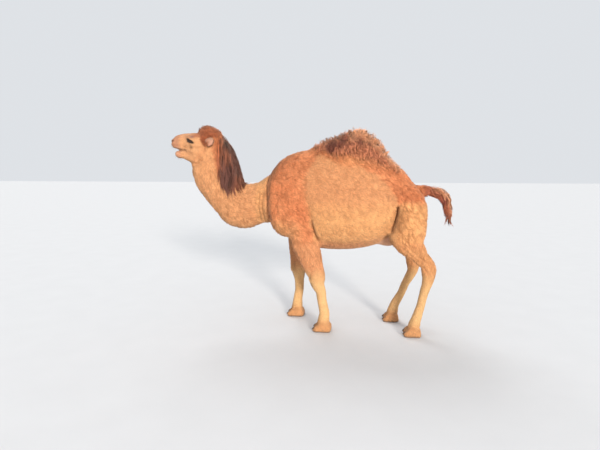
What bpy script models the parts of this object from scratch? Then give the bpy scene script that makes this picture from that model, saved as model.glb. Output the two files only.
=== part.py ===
"""A life-size, still model of a one-humped hybrid camel cow, standing square-on with her weight
on four broad feet, neck carried low and head raised.

The flesh is modelled whole from lofted forms, blended into one skin-tight solid, and parted with
thin cuts into the parts that a person would name. Eyes, ears and toenails are solids of their own,
each set in a socket of its own shape.

Metres, +Z up. The camel faces -X and her left side faces -Y. The origin is on the floor, under the
middle of her outline. Lofts are written about BODY_MIDDLE, a point on the floor under mid-trunk.
"""

import math

import bmesh
import bpy
import numpy as np
from mathutils import Matrix, Vector

# ------------------------------------------------------------------ driving dimensions
BODY_MIDDLE = Vector((0.457, 0.0, 0.0))  # mid-trunk, measured from the origin
HUMP_HEIGHT = 2.03  # floor to the tips of the wool on the hump
WITHERS_HEIGHT = 1.80
BELLY_HEIGHT = 0.80  # floor to the lowest point of the belly
KNEE_HEIGHT = 0.50
HOCK_HEIGHT = 0.64
FETLOCK_HEIGHT = 0.17
FOOT_LENGTH = 0.185
EYE_RADIUS = 0.024
EAR_LENGTH = 0.120
EAR_HALF_WIDTH = 0.038
EAR_HALF_THICKNESS = 0.0075
GAP = 0.0005  # clear space left by every cut
VOXEL = 0.007  # grain of the blended flesh
FLESH_TRIANGLES = 3500
RING_POINTS = 40
FLOOR_CUT = 0.03  # how far the soles are modelled below the floor before they are cut flat

COAT = ("coat_tan", (0.60, 0.33, 0.16), 0.85)
DARK_COAT = ("coat_brown", (0.17, 0.08, 0.045), 0.85)
BARE_SKIN = ("bare_skin", (0.50, 0.28, 0.20), 0.60)
EYE_GLASS = ("eye_dark", (0.02, 0.012, 0.01), 0.08)
HORN = ("toenail_horn", (0.20, 0.14, 0.10), 0.45)


# ------------------------------------------------------------------ scene helpers
def clear_scene():
    for old in list(bpy.data.objects):
        bpy.data.objects.remove(old, do_unlink=True)


def material(recipe):
    name, colour, roughness = recipe
    made = bpy.data.materials.get(name) or bpy.data.materials.new(name)
    made.use_nodes = True
    shader = made.node_tree.nodes["Principled BSDF"]
    shader.inputs["Base Color"].default_value = (*colour, 1.0)
    shader.inputs["Roughness"].default_value = roughness
    shader.inputs["Metallic"].default_value = 0.0
    return made


def add_object(name, mesh, recipe=None):
    made = bpy.data.objects.new(name, mesh)
    bpy.context.scene.collection.objects.link(made)
    if recipe:
        mesh.materials.clear()
        mesh.materials.append(material(recipe))
    return made


def add_helper(name, mesh):
    """An object that shapes others and isn't part of the camel."""
    made = add_object(name, mesh)
    made.hide_render = True
    made.display_type = "WIRE"
    return made


def settle(obj, name):
    """The object's evaluated mesh, as a new mesh."""
    graph = bpy.context.evaluated_depsgraph_get()
    mesh = bpy.data.meshes.new_from_object(obj.evaluated_get(graph))
    mesh.name = name
    return mesh


def replace_mesh(obj):
    """Applies the object's modifiers."""
    mesh = settle(obj, obj.name)
    obj.modifiers.clear()
    obj.data = mesh


def boolean(obj, other, operation):
    step = obj.modifiers.new(operation.lower(), "BOOLEAN")
    step.operation = operation
    step.object = other
    step.solver = "EXACT"
    replace_mesh(obj)


# ------------------------------------------------------------------ lofts
def spline(values, count):
    """A smooth curve through rows of numbers: Catmull-Rom, evenly spread by the row's own steps."""
    rows = np.asarray(values, float)
    ends = np.vstack([2 * rows[0] - rows[1], rows, 2 * rows[-1] - rows[-2]])
    steps = np.linalg.norm(np.diff(rows[:, :3], axis=0), axis=1)
    along = np.concatenate([[0.0], np.cumsum(steps)])
    at = np.linspace(0.0, along[-1], count)
    piece = np.clip(np.searchsorted(along, at, side="right") - 1, 0, len(rows) - 2)
    t = ((at - along[piece]) / steps[piece])[:, None]
    p0, p1, p2, p3 = (ends[piece + k] for k in range(4))
    return 0.5 * (
        2 * p1
        + (p2 - p0) * t
        + (2 * p0 - 5 * p1 + 4 * p2 - p3) * t**2
        + (3 * p1 - p0 - 3 * p2 + p3) * t**3
    )


def ring(centre, side, up, half_width, rise, drop, power):
    """A closed section: half_width to each side, rise above the centre and drop below it. power is
    2 for an ellipse, less for a keel or ridge, more for a box."""
    turn = np.arange(RING_POINTS) * 2 * math.pi / RING_POINTS
    across = np.sign(np.cos(turn)) * np.abs(np.cos(turn)) ** (2 / power)
    over = np.sign(np.sin(turn)) * np.abs(np.sin(turn)) ** (2 / power)
    reach = np.where(over > 0, rise, drop)
    return (
        np.asarray(centre)
        + np.outer(across * half_width, side)
        + np.outer(over * reach, up)
    )


def loft_mesh(name, rings):
    """A closed skin over a row of rings, with a flat cap at each end."""
    bm = bmesh.new()
    rows = [[bm.verts.new(p) for p in points] for points in rings]
    for low, high in zip(rows, rows[1:]):
        for k in range(RING_POINTS):
            nxt = (k + 1) % RING_POINTS
            bm.faces.new((low[k], low[nxt], high[nxt], high[k]))
    bm.faces.new(rows[0])
    bm.faces.new(rows[-1][::-1])
    bmesh.ops.recalc_face_normals(bm, faces=bm.faces)
    bmesh.ops.translate(bm, verts=bm.verts, vec=BODY_MIDDLE)
    mesh = bpy.data.meshes.new(name)
    bm.to_mesh(mesh)
    bm.free()
    return mesh


def trunk_like(name, stations, count=40):
    """A loft along X. Each station is x, y, height of its widest line, top, bottom, half width, power."""
    rows = spline(stations, count)
    rings = []
    for x, y, waist, top, bottom, half_width, power in rows:
        rings.append(
            ring((x, y, waist), (0, 1, 0), (0, 0, 1), half_width, top - waist, waist - bottom, power)
        )
    return loft_mesh(name, rings)


def limb_like(name, stations, count=44, front=(-1, 0, 0)):
    """A loft along a bent centreline. Each station is x, y, z, half depth towards the front, half depth
    towards the back, half width, power. Its rings stand square to the centreline."""
    rows = spline(stations, count)
    centres = rows[:, :3]
    along = np.gradient(centres, axis=0)
    along /= np.linalg.norm(along, axis=1)[:, None]
    rings = []
    for centre, way, (ahead, behind, half_width, power) in zip(centres, along, rows[:, 3:]):
        side = np.cross(way, front)
        side /= np.linalg.norm(side)
        forward = np.cross(side, way)
        rings.append(ring(centre, side, forward, half_width, ahead, behind, power))
    return loft_mesh(name, rings)


def ball(name, centre, radii, tilt=0.0, turn=0.0):
    """An ellipsoid with these half sizes, tilted about Y, then turned about Z, in degrees."""
    bm = bmesh.new()
    bmesh.ops.create_icosphere(bm, subdivisions=4, radius=1.0)
    bmesh.ops.scale(bm, vec=radii, verts=bm.verts)
    spin = Matrix.Rotation(math.radians(turn), 3, "Z") @ Matrix.Rotation(math.radians(tilt), 3, "Y")
    bmesh.ops.rotate(bm, cent=(0, 0, 0), matrix=spin, verts=bm.verts)
    bmesh.ops.translate(bm, verts=bm.verts, vec=Vector(centre) + BODY_MIDDLE)
    mesh = bpy.data.meshes.new(name)
    bm.to_mesh(mesh)
    bm.free()
    return mesh


# ------------------------------------------------------------------ the flesh, form by form
def barrel():
    """Chest, ribs, belly and croup."""
    b = BELLY_HEIGHT
    w = WITHERS_HEIGHT
    return trunk_like(
        "barrel",
        [
            # x, y, waist, top, bottom, half width, power
            (-0.855, 0, 1.29, 1.46, b + 0.33, 0.120, 2.0),
            (-0.825, 0, 1.29, 1.55, b + 0.28, 0.195, 2.1),
            (-0.77, 0, 1.28, 1.65, b + 0.235, 0.240, 2.1),
            (-0.69, 0, 1.27, w - 0.065, b + 0.175, 0.268, 2.0),
            (-0.58, 0, 1.25, w - 0.015, b + 0.10, 0.290, 2.0),
            (-0.46, 0, 1.22, w + 0.01, b + 0.045, 0.314, 2.0),
            (-0.32, 0, 1.19, w - 0.01, b + 0.01, 0.345, 2.0),
            (-0.14, 0, 1.17, w - 0.03, b, 0.372, 2.0),
            (0.04, 0, 1.17, w - 0.06, b + 0.01, 0.378, 2.0),
            (0.20, 0, 1.19, w - 0.10, b + 0.04, 0.362, 1.95),
            (0.33, 0, 1.22, w - 0.15, b + 0.09, 0.320, 1.9),
            (0.44, 0, 1.25, w - 0.20, b + 0.15, 0.268, 1.9),
            (0.56, 0, 1.27, w - 0.27, b + 0.20, 0.250, 1.95),
            (0.65, 0, 1.26, w - 0.35, b + 0.26, 0.222, 1.95),
            (0.72, 0, 1.24, w - 0.455, b + 0.32, 0.160, 1.95),
            (0.76, 0, 1.22, w - 0.52, b + 0.37, 0.085, 1.95),
        ],
        60,
    )


def hump():
    """One long hump from the withers to the loins, with its woolly crest."""
    h = HUMP_HEIGHT
    return trunk_like(
        "hump",
        [
            (-0.47, 0, 1.62, h - 0.245, 1.40, 0.055, 1.7),
            (-0.40, 0, 1.60, h - 0.190, 1.35, 0.130, 1.7),
            (-0.32, 0, 1.60, h - 0.125, 1.30, 0.180, 1.65),
            (-0.22, 0, 1.60, h - 0.080, 1.30, 0.215, 1.6),
            (-0.10, 0, 1.60, h - 0.058, 1.30, 0.235, 1.6),
            (0.00, 0, 1.60, h - 0.025, 1.30, 0.240, 1.6),
            (0.10, 0, 1.59, h - 0.004, 1.30, 0.235, 1.55),
            (0.19, 0, 1.58, h - 0.050, 1.30, 0.225, 1.55),
            (0.28, 0, 1.56, h - 0.135, 1.30, 0.210, 1.6),
            (0.38, 0, 1.52, h - 0.270, 1.25, 0.190, 1.65),
            (0.48, 0, 1.47, h - 0.380, 1.20, 0.165, 1.7),
            (0.57, 0, 1.42, h - 0.470, 1.20, 0.120, 1.8),
            (0.63, 0, 1.40, h - 0.550, 1.20, 0.060, 1.8),
        ],
        50,
    )


def neck():
    """A low swung neck that rises in a U to the head."""
    return limb_like(
        "neck",
        [
            # x, y, z, throat side, nape side, half width, power
            (-0.60, 0, 1.340, 0.350, 0.380, 0.215, 2.0),
            (-0.76, 0, 1.320, 0.280, 0.260, 0.190, 2.0),
            (-0.88, 0, 1.280, 0.230, 0.222, 0.162, 2.0),
            (-0.99, 0, 1.240, 0.198, 0.245, 0.145, 2.0),
            (-1.10, 0, 1.205, 0.212, 0.270, 0.136, 2.0),
            (-1.21, 0, 1.225, 0.214, 0.262, 0.130, 2.0),
            (-1.315, 0, 1.310, 0.184, 0.240, 0.126, 2.0),
            (-1.405, 0, 1.420, 0.186, 0.225, 0.122, 2.0),
            (-1.470, 0, 1.540, 0.204, 0.215, 0.116, 2.0),
            (-1.500, 0, 1.660, 0.200, 0.200, 0.110, 2.0),
            (-1.520, 0, 1.780, 0.168, 0.185, 0.104, 2.0),
            (-1.530, 0, 1.900, 0.110, 0.120, 0.090, 2.0),
        ],
        60,
        front=(0, 0, -1),
    )


def mane():
    """The long hair of the nape, which falls over both sides of the neck to a blunt hem."""
    return limb_like(
        "mane",
        [
            (-1.480, 0, 2.010, 0.060, 0.065, 0.070, 2.0),
            (-1.430, 0, 1.955, 0.080, 0.096, 0.092, 2.0),
            (-1.375, 0, 1.865, 0.095, 0.106, 0.106, 2.0),
            (-1.330, 0, 1.770, 0.115, 0.116, 0.117, 2.1),
            (-1.300, 0, 1.670, 0.130, 0.122, 0.127, 2.2),
            (-1.272, 0, 1.575, 0.130, 0.122, 0.134, 2.3),
            (-1.235, 0, 1.485, 0.118, 0.108, 0.139, 2.3),
            (-1.200, 0, 1.425, 0.098, 0.088, 0.138, 2.3),
        ],
        40,
        front=(-1, 0, 0),
    )


def skull():
    """Head above the mouth, from the poll to the nose."""
    return trunk_like(
        "skull",
        [
            (-1.385, 0, 1.92, 1.970, 1.86, 0.045, 2.0),
            (-1.430, 0, 1.92, 2.025, 1.80, 0.082, 2.0),
            (-1.490, 0, 1.91, 2.040, 1.76, 0.102, 2.0),
            (-1.550, 0, 1.91, 2.028, 1.73, 0.110, 2.1),
            (-1.605, 0, 1.91, 2.008, 1.72, 0.112, 2.2),
            (-1.655, 0, 1.91, 2.003, 1.73, 0.106, 2.3),
            (-1.705, 0, 1.905, 2.002, 1.76, 0.090, 2.3),
            (-1.755, 0, 1.895, 2.001, 1.80, 0.071, 2.3),
            (-1.805, 0, 1.89, 1.996, 1.820, 0.063, 2.3),
            (-1.846, 0, 1.89, 1.984, 1.836, 0.060, 2.3),
            (-1.882, 0, 1.89, 1.964, 1.845, 0.055, 2.2),
            (-1.904, 0, 1.89, 1.940, 1.850, 0.042, 2.1),
            (-1.913, 0, 1.89, 1.918, 1.866, 0.022, 2.0),
        ],
        60,
    )


def crown():
    """The woolly cap on the head, steep in front and rounded behind."""
    return trunk_like(
        "crown",
        [
            (-1.601, 0, 1.975, 2.030, 1.92, 0.052, 2.2),
            (-1.592, 0, 1.975, 2.064, 1.91, 0.066, 2.2),
            (-1.570, 0, 1.970, 2.078, 1.90, 0.078, 2.1),
            (-1.530, 0, 1.960, 2.085, 1.89, 0.086, 2.0),
            (-1.490, 0, 1.955, 2.084, 1.89, 0.088, 2.0),
            (-1.445, 0, 1.950, 2.070, 1.89, 0.084, 2.0),
            (-1.405, 0, 1.940, 2.040, 1.89, 0.066, 2.0),
            (-1.380, 0, 1.930, 2.000, 1.89, 0.040, 2.0),
        ],
        40,
    )


def jaw():
    """Cheeks, lower jaw and the full, slightly dropped lower lip."""
    return trunk_like(
        "jaw",
        [
            (-1.50, 0, 1.81, 1.88, 1.735, 0.070, 2.0),
            (-1.56, 0, 1.80, 1.90, 1.690, 0.090, 2.1),
            (-1.63, 0, 1.78, 1.89, 1.680, 0.086, 2.1),
            (-1.69, 0, 1.77, 1.87, 1.688, 0.068, 2.1),
            (-1.745, 0, 1.77, 1.842, 1.710, 0.052, 2.1),
            (-1.795, 0, 1.77, 1.834, 1.735, 0.045, 2.1),
            (-1.840, 0, 1.775, 1.824, 1.740, 0.043, 2.2),
            (-1.864, 0, 1.778, 1.818, 1.748, 0.038, 2.1),
            (-1.883, 0, 1.784, 1.804, 1.765, 0.020, 2.0),
        ],
        40,
    )


def tail():
    """Lifted and swung out behind, its tufted end hanging."""
    return limb_like(
        "tail",
        [
            (0.62, 0.000, 1.395, 0.055, 0.065, 0.052, 2.0),
            (0.71, 0.010, 1.413, 0.060, 0.060, 0.050, 2.0),
            (0.80, 0.030, 1.405, 0.060, 0.060, 0.046, 2.0),
            (0.875, 0.048, 1.388, 0.062, 0.062, 0.044, 2.0),
            (0.930, 0.062, 1.345, 0.064, 0.064, 0.044, 2.0),
            (0.962, 0.074, 1.280, 0.054, 0.054, 0.044, 2.0),
            (0.975, 0.082, 1.210, 0.044, 0.044, 0.038, 2.0),
            (0.980, 0.086, 1.145, 0.028, 0.028, 0.026, 2.0),
            (0.981, 0.088, 1.100, 0.010, 0.010, 0.010, 2.0),
        ],
        40,
        front=(0, 0, -1),
    )


def foreleg(side, elbow_x, knee_x, foot_x):
    """Shoulder to pastern. side is -1 for the left leg and +1 for the right."""
    y = side * FORE_SPREAD
    fetlock_x = foot_x + 0.012
    middle_x = 0.5 * (knee_x + fetlock_x) + 0.012
    return limb_like(
        "foreleg",
        [
            # x, y, z, front half depth, back half depth, half width, power
            (elbow_x - 0.07, side * 0.165, 1.42, 0.07, 0.07, 0.05, 2.0),
            (elbow_x - 0.05, side * 0.190, 1.28, 0.155, 0.150, 0.090, 2.0),
            (elbow_x - 0.03, side * 0.205, 1.10, 0.170, 0.160, 0.105, 2.0),
            (elbow_x, side * 0.215, 0.93, 0.150, 0.138, 0.088, 2.1),
            (elbow_x * 0.62 + knee_x * 0.38, y, 0.78, 0.130, 0.122, 0.078, 2.1),
            (elbow_x * 0.30 + knee_x * 0.70, y, 0.65, 0.104, 0.100, 0.067, 2.1),
            (knee_x, y, KNEE_HEIGHT + 0.05, 0.088, 0.082, 0.062, 2.2),
            (knee_x, y, KNEE_HEIGHT - 0.02, 0.072, 0.070, 0.058, 2.2),
            (middle_x + 0.3 * (knee_x - middle_x), y, 0.40, 0.053, 0.056, 0.045, 2.1),
            (middle_x, y, 0.30, 0.050, 0.050, 0.041, 2.1),
            (fetlock_x, y, FETLOCK_HEIGHT + 0.02, 0.052, 0.052, 0.046, 2.1),
            (foot_x + 0.006, y, 0.10, 0.062, 0.058, 0.056, 2.1),
            (foot_x, y, 0.02, 0.065, 0.062, 0.062, 2.1),
        ],
        60,
    )


def hindleg(side, buttock_x, gaskin_x, hock_x, foot_x):
    """Hip to pastern."""
    y = side * HIND_SPREAD
    fetlock_x = foot_x + 0.035
    return limb_like(
        "hindleg",
        [
            (0.54, side * 0.130, 1.45, 0.08, 0.09, 0.05, 2.0),
            (0.565, side * 0.165, 1.34, 0.120, 0.150, 0.095, 2.0),
            (buttock_x - 0.160, side * 0.190, 1.20, 0.150, 0.160, 0.122, 2.0),
            (buttock_x - 0.160, side * 0.205, 1.06, 0.165, 0.160, 0.122, 2.0),
            (buttock_x - 0.155, y, 0.93, 0.160, 0.145, 0.096, 2.0),
            (gaskin_x + 0.02, y, 0.81, 0.090, 0.088, 0.066, 2.1),
            (hock_x - 0.015, y, 0.71, 0.066, 0.076, 0.054, 2.1),
            (hock_x, y, HOCK_HEIGHT, 0.066, 0.080, 0.054, 2.2),
            (hock_x + 0.002, y, 0.55, 0.056, 0.054, 0.046, 2.1),
            (0.62 * hock_x + 0.38 * fetlock_x, y, 0.42, 0.045, 0.045, 0.037, 2.1),
            (0.35 * hock_x + 0.65 * fetlock_x, y, 0.30, 0.043, 0.043, 0.036, 2.1),
            (fetlock_x, y, FETLOCK_HEIGHT + 0.02, 0.048, 0.050, 0.042, 2.1),
            (foot_x + 0.010, y, 0.10, 0.058, 0.056, 0.053, 2.1),
            (foot_x, y, 0.02, 0.062, 0.060, 0.058, 2.1),
        ],
        60,
    )


def toe(side_y, foot_x, which, size):
    """One of a foot's two toes. It runs from the heel to the tip and splays outward."""
    reach = FOOT_LENGTH * size
    inner, outer = side_y + which * 0.030, side_y + which * 0.047
    sole = -FLOOR_CUT
    return trunk_like(
        "toe",
        [
            # x, y, waist, top, bottom, half width, power
            (foot_x + 0.44 * reach, inner, 0.022, 0.040, sole, 0.030, 2.6),
            (foot_x + 0.36 * reach, inner, 0.024, 0.072, sole, 0.050, 2.6),
            (foot_x + 0.12 * reach, inner, 0.026, 0.104, sole, 0.057, 2.5),
            (foot_x - 0.14 * reach, inner, 0.026, 0.094, sole, 0.056, 2.5),
            (foot_x - 0.34 * reach, outer, 0.024, 0.066, sole, 0.044, 2.5),
            (foot_x - 0.47 * reach, outer, 0.022, 0.048, sole, 0.033, 2.5),
            (foot_x - 0.54 * reach, outer, 0.020, 0.032, sole, 0.016, 2.5),
        ],
        26,
    )


# Where each leg stands: its side (-1 is left, 1 is right), then x at each joint down to the foot. She
# stands with both left feet back and both right feet forward.
FORE = {"left": (-1, -0.435, -0.300, -0.240), "right": (1, -0.545, -0.570, -0.592)}
HIND = {
    "left": (-1, 0.750, 0.655, 0.772, 0.645),
    "right": (1, 0.795, 0.620, 0.655, 0.448),
}
FORE_SPREAD, HIND_SPREAD = 0.225, 0.215  # from the middle plane to each foot
EYE_CENTRE = (-1.672, 0.087, 1.914)
EAR_ROOT = (-1.470, 0.110, 1.893)
EAR_WAY = (0.84, 0.45, 0.30)
EAR_OPENS_TO = (-0.10, 0.98, -0.10)


def flesh_forms():
    forms = [barrel(), hump(), neck(), mane(), skull(), crown(), jaw(), tail()]
    for side, elbow_x, knee_x, foot_x in FORE.values():
        forms.append(foreleg(side, elbow_x, knee_x, foot_x))
        forms += [toe(side * FORE_SPREAD, foot_x, which, 1.0) for which in (-1, 1)]
        knee = (knee_x - 0.034, side * FORE_SPREAD, KNEE_HEIGHT + 0.02)
        forms.append(ball("knee", knee, (0.050, 0.046, 0.068)))
    for side, buttock_x, gaskin_x, hock_x, foot_x in HIND.values():
        forms.append(hindleg(side, buttock_x, gaskin_x, hock_x, foot_x))
        forms += [toe(side * HIND_SPREAD, foot_x, which, 0.93) for which in (-1, 1)]
        hock = (hock_x + 0.035, side * HIND_SPREAD, HOCK_HEIGHT + 0.02)
        forms.append(ball("hock", hock, (0.045, 0.036, 0.060)))
        forms.append(ball("stifle", (0.475, side * HIND_SPREAD, 0.985), (0.085, 0.085, 0.115), 20))
    for side in (-1, 1):
        forms.append(ball("brow", (-1.672, side * 0.074, 1.950), (0.054, 0.032, 0.032), 0, side * 8))
        forms.append(ball("cheek", (-1.610, side * 0.070, 1.820), (0.085, 0.035, 0.065), 12))
        forms.append(ball("nostril", (-1.870, side * 0.030, 1.912), (0.038, 0.030, 0.034)))
        forms.append(ball("ear_root", (-1.475, side * 0.088, 1.885), (0.045, 0.035, 0.045)))
        forms.append(ball("shoulder", (-0.60, side * 0.165, 1.17), (0.20, 0.125, 0.24), 15))
    forms.append(ball("chest_pad", (-0.43, 0, BELLY_HEIGHT + 0.035), (0.13, 0.085, 0.055)))
    forms.append(ball("udder", (0.37, 0, 0.955), (0.15, 0.115, 0.115), 12))
    return forms


# ------------------------------------------------------------------ blending
def join(meshes):
    bm = bmesh.new()
    for mesh in meshes:
        bm.from_mesh(mesh)
    joined = bpy.data.meshes.new("flesh")
    bm.to_mesh(joined)
    bm.free()
    return joined


def places(mesh):
    found = np.empty(len(mesh.vertices) * 3, np.float32)
    mesh.vertices.foreach_get("co", found)
    return found.reshape(-1, 3) - np.array(BODY_MIDDLE)


def fade(value, start, end):
    """0 before start and 1 after end, smooth between."""
    t = np.clip((value - start) / (end - start), 0, 1)
    return t * t * (3 - 2 * t)


def weigh(obj, name, weights):
    """A vertex group with a weight for each vertex, in steps of a twentieth."""
    group = obj.vertex_groups.new(name=name)
    steps = np.round(weights * 20).astype(int)
    for step in range(1, 21):
        group.add(np.flatnonzero(steps == step).tolist(), step / 20, "REPLACE")


def blended_flesh():
    """One closed solid: the forms fused, their joins softened, and the facets thinned out where the
    body is plain."""
    flesh = add_object("flesh", join(flesh_forms()))
    fuse = flesh.modifiers.new("fuse", "REMESH")
    fuse.mode = "VOXEL"
    fuse.voxel_size = VOXEL
    replace_mesh(flesh)
    x, y, z = places(flesh.data).T
    head = fade(-x, 1.42, 1.56) * fade(z, 1.66, 1.76)
    foot = 1 - fade(z, 0.10, 0.20)
    low_leg = 1 - fade(z, 0.60, 0.85)
    weigh(flesh, "soften", np.clip(1 - 0.88 * head - 0.9 * foot - 0.75 * low_leg, 0.06, 1))
    soften = flesh.modifiers.new("soften", "SMOOTH")
    soften.factor = 0.5
    soften.iterations = 60
    soften.vertex_group = "soften"
    replace_mesh(flesh)
    weigh(flesh, "plain", np.clip(1 - 0.85 * head - 0.35 * foot - 0.2 * low_leg, 0, 1))
    thin = flesh.modifiers.new("thin", "DECIMATE")
    thin.ratio = FLESH_TRIANGLES / (2 * len(flesh.data.polygons))
    thin.vertex_group = "plain"
    thin.vertex_group_factor = 0.0006
    replace_mesh(flesh)
    flesh.vertex_groups.clear()
    return flesh


# ------------------------------------------------------------------ regions and cuts
def region(planes, grow=0.0):
    """The convex block behind every plane. A plane is a point on it and its outward normal, about
    BODY_MIDDLE. grow moves every face outward."""
    bm = bmesh.new()
    bmesh.ops.create_cube(bm, size=8.0)
    bmesh.ops.translate(bm, verts=bm.verts, vec=BODY_MIDDLE)
    for point, normal in planes:
        way = Vector(normal).normalized()
        at = Vector(point) + BODY_MIDDLE + way * grow
        parts = bm.verts[:] + bm.edges[:] + bm.faces[:]
        cut = bmesh.ops.bisect_plane(bm, geom=parts, plane_co=at, plane_no=way, clear_outer=True)
        edges = [e for e in cut["geom_cut"] if isinstance(e, bmesh.types.BMEdge)]
        bmesh.ops.contextual_create(bm, geom=edges)
    bmesh.ops.recalc_face_normals(bm, faces=bm.faces)
    mesh = bpy.data.meshes.new("region")
    bm.to_mesh(mesh)
    bm.free()
    return mesh


def keep_largest(obj):
    """Drops loose crumbs and keeps the biggest closed body."""
    bm = bmesh.new()
    bm.from_mesh(obj.data)
    left = set(bm.faces)
    bodies = []
    while left:
        seed = left.pop()
        body, front = {seed}, [seed]
        while front:
            face = front.pop()
            for edge in face.edges:
                for other in edge.link_faces:
                    if other in left:
                        left.remove(other)
                        body.add(other)
                        front.append(other)
        bodies.append(body)
    bodies.sort(key=lambda body: -sum(f.calc_area() for f in body))
    spare = [f for body in bodies[1:] for f in body]
    if spare:
        bmesh.ops.delete(bm, geom=spare, context="FACES")
        loose = [v for v in bm.verts if not v.link_faces]
        bmesh.ops.delete(bm, geom=loose, context="VERTS")
    bm.to_mesh(obj.data)
    bm.free()


def part_off(rest, name, planes, recipe=COAT):
    """Takes what lies in a block out of the rest as a node of its own, with a thin gap round it."""
    piece = add_object(name, rest.data.copy(), recipe)
    block = add_helper("block", region(planes))
    boolean(piece, block, "INTERSECT")
    keep_largest(piece)
    clearance = add_helper("clearance", region(planes, GAP))
    boolean(rest, clearance, "DIFFERENCE")
    bpy.data.objects.remove(block)
    bpy.data.objects.remove(clearance)
    return piece


def leg_cuts(rest, kind, side_name, side, foot_x, heights, top):
    """Parts one leg: heights are the cuts from the foot up, and top the planes that close its root."""
    inner = 0.10 if kind == "foreleg" else 0.115
    names = {"foreleg": ("foot", "shin", "forearm"), "hindleg": ("foot", "shin", "gaskin", "thigh")}[kind]
    ahead = 0.30 if kind == "foreleg" else 0.20
    reach = [((foot_x - ahead, 0, 0), (-1, 0, 0)), ((foot_x + 0.40, 0, 0), (1, 0, 0))]
    own_side = [((0, side * 0.03, 0), (0, -side, 0))]
    for name, height in zip(names, heights):
        part_off(rest, f"{kind}_{side_name}_{name}", own_side + reach + [((0, 0, height), (0, 0, 1))])
    root = [((0, side * inner, 0), (0, -side, 0))] + top
    part_off(rest, f"{kind}_{side_name}_{names[len(heights)]}", root)


def part_the_flesh(rest):
    # Head, jaw and neck.
    head_cut = ((-1.535, 0, 1.822), (0.715, 0, -0.699))
    mouth_cut = ((-1.83, 0, 1.829), (0.16, 0, 0.987))
    head = part_off(rest, "head", [head_cut, ((-1.0, 0, 0), (1, 0, 0))])
    jaw_back = ((-1.640, 0, 1.78), (0.93, 0, 0.36))
    part_off(head, "lower_jaw", [mouth_cut, jaw_back])
    keep_largest(head)
    part_off(rest, "neck_upper", [((-1.265, 0, 1.31), (0.80, 0, -0.60)), ((-1.0, 0, 0), (1, 0, 0))])
    part_off(rest, "neck_lower", [((-0.86, 0, 1.3), (1, 0, -0.06))])
    part_off(rest, "tail", [((0.785, 0, 1.42), (-1, 0, 0)), ((0, 0, 1.02), (0, 0, -1))], DARK_COAT)
    # Legs, from the foot up.
    for side_name, (side, elbow_x, knee_x, foot_x) in FORE.items():
        top = [
            ((elbow_x - 0.165, 0, 0.95), (-1, 0, 0.10)),
            ((elbow_x + 0.165, 0, 0.95), (1, 0, 0.12)),
            ((0, side * 0.10, 0.86), (0, -side * 0.70, 0.715)),
        ]
        leg_cuts(rest, "foreleg", side_name, side, foot_x, (FETLOCK_HEIGHT - 0.02, KNEE_HEIGHT + 0.06), top)
    for side_name, (side, buttock_x, gaskin_x, hock_x, foot_x) in HIND.items():
        top = [
            ((0.375, 0, 1.0), (-1, 0, 0.35)),
            ((0, side * 0.115, 0.98), (0, -side * 0.80, 0.60)),
        ]
        heights = (FETLOCK_HEIGHT - 0.02, HOCK_HEIGHT - 0.06, 0.83)
        leg_cuts(rest, "hindleg", side_name, side, foot_x, heights, top)
    # Trunk.
    crest = [((0, 0, 1.665), (0.10, 0, -1)), ((-0.42, 0, 1.80), (-0.64, 0, -0.77))]
    part_off(rest, "hump", crest, DARK_COAT)
    bag = [((0.37, 0, 0.905), (-0.444, 0, 1)), ((0.20, 0, 0), (-1, 0, 0)), ((0.56, 0, 0), (1, 0, 0))]
    part_off(rest, "udder", bag, BARE_SKIN)
    part_off(rest, "trunk_shoulders", [((-0.27, 0, 0), (1, 0, 0))])
    part_off(rest, "trunk_barrel", [((0.36, 0, 0), (1, 0, -0.12))])
    rest.name = "trunk_rump"
    keep_largest(rest)
    rest.data.materials.clear()
    rest.data.materials.append(material(COAT))


# ------------------------------------------------------------------ pieces set into the flesh
def set_in(flesh, piece):
    """Cuts a socket of the piece's own shape, grown by the gap, into the flesh."""
    grown = add_helper("socket", piece.data.copy())
    swell = grown.modifiers.new("swell", "DISPLACE")
    swell.direction = "NORMAL"
    swell.mid_level = 0.0
    swell.strength = GAP
    replace_mesh(grown)
    boolean(flesh, grown, "DIFFERENCE")
    bpy.data.objects.remove(grown)


def mirrored(point, side):
    return (point[0], point[1] * side, point[2])


def make_eye(name, side):
    bm = bmesh.new()
    bmesh.ops.create_icosphere(bm, subdivisions=2, radius=EYE_RADIUS)
    bmesh.ops.translate(bm, verts=bm.verts, vec=Vector(mirrored(EYE_CENTRE, side)) + BODY_MIDDLE)
    mesh = bpy.data.meshes.new(name)
    bm.to_mesh(mesh)
    bm.free()
    mesh.shade_smooth()
    return add_object(name, mesh, EYE_GLASS)


def make_ear(name, side):
    """A small rounded leaf, cupped across its width and curled a little at the tip: an ellipsoid
    whose points move towards the open side by the square of their place across and along it."""
    rows, columns = 9, 12
    way = Vector(mirrored(EAR_WAY, side)).normalized()
    open_to = Vector(mirrored(EAR_OPENS_TO, side))
    open_to = (open_to - way * open_to.dot(way)).normalized()
    across = way.cross(open_to)
    root = Vector(mirrored(EAR_ROOT, side)) + BODY_MIDDLE
    bm = bmesh.new()
    bmesh.ops.create_uvsphere(bm, u_segments=columns, v_segments=rows, radius=1.0)
    for vert in bm.verts:
        out, wide, along = vert.co
        middle = 1.0 - 0.25 * along
        cup = 0.017 * wide * wide + 0.006 * max(along, 0.0) ** 2
        vert.co = (
            root
            + way * (EAR_LENGTH * (0.5 + 0.5 * along) - 0.020)
            + across * (EAR_HALF_WIDTH * middle * wide)
            + open_to * (EAR_HALF_THICKNESS * out + cup)
        )
    bmesh.ops.triangulate(bm, faces=bm.faces)
    bmesh.ops.recalc_face_normals(bm, faces=bm.faces)
    mesh = bpy.data.meshes.new(name)
    bm.to_mesh(mesh)
    bm.free()
    mesh.shade_smooth()
    return add_object(name, mesh, BARE_SKIN)


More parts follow.
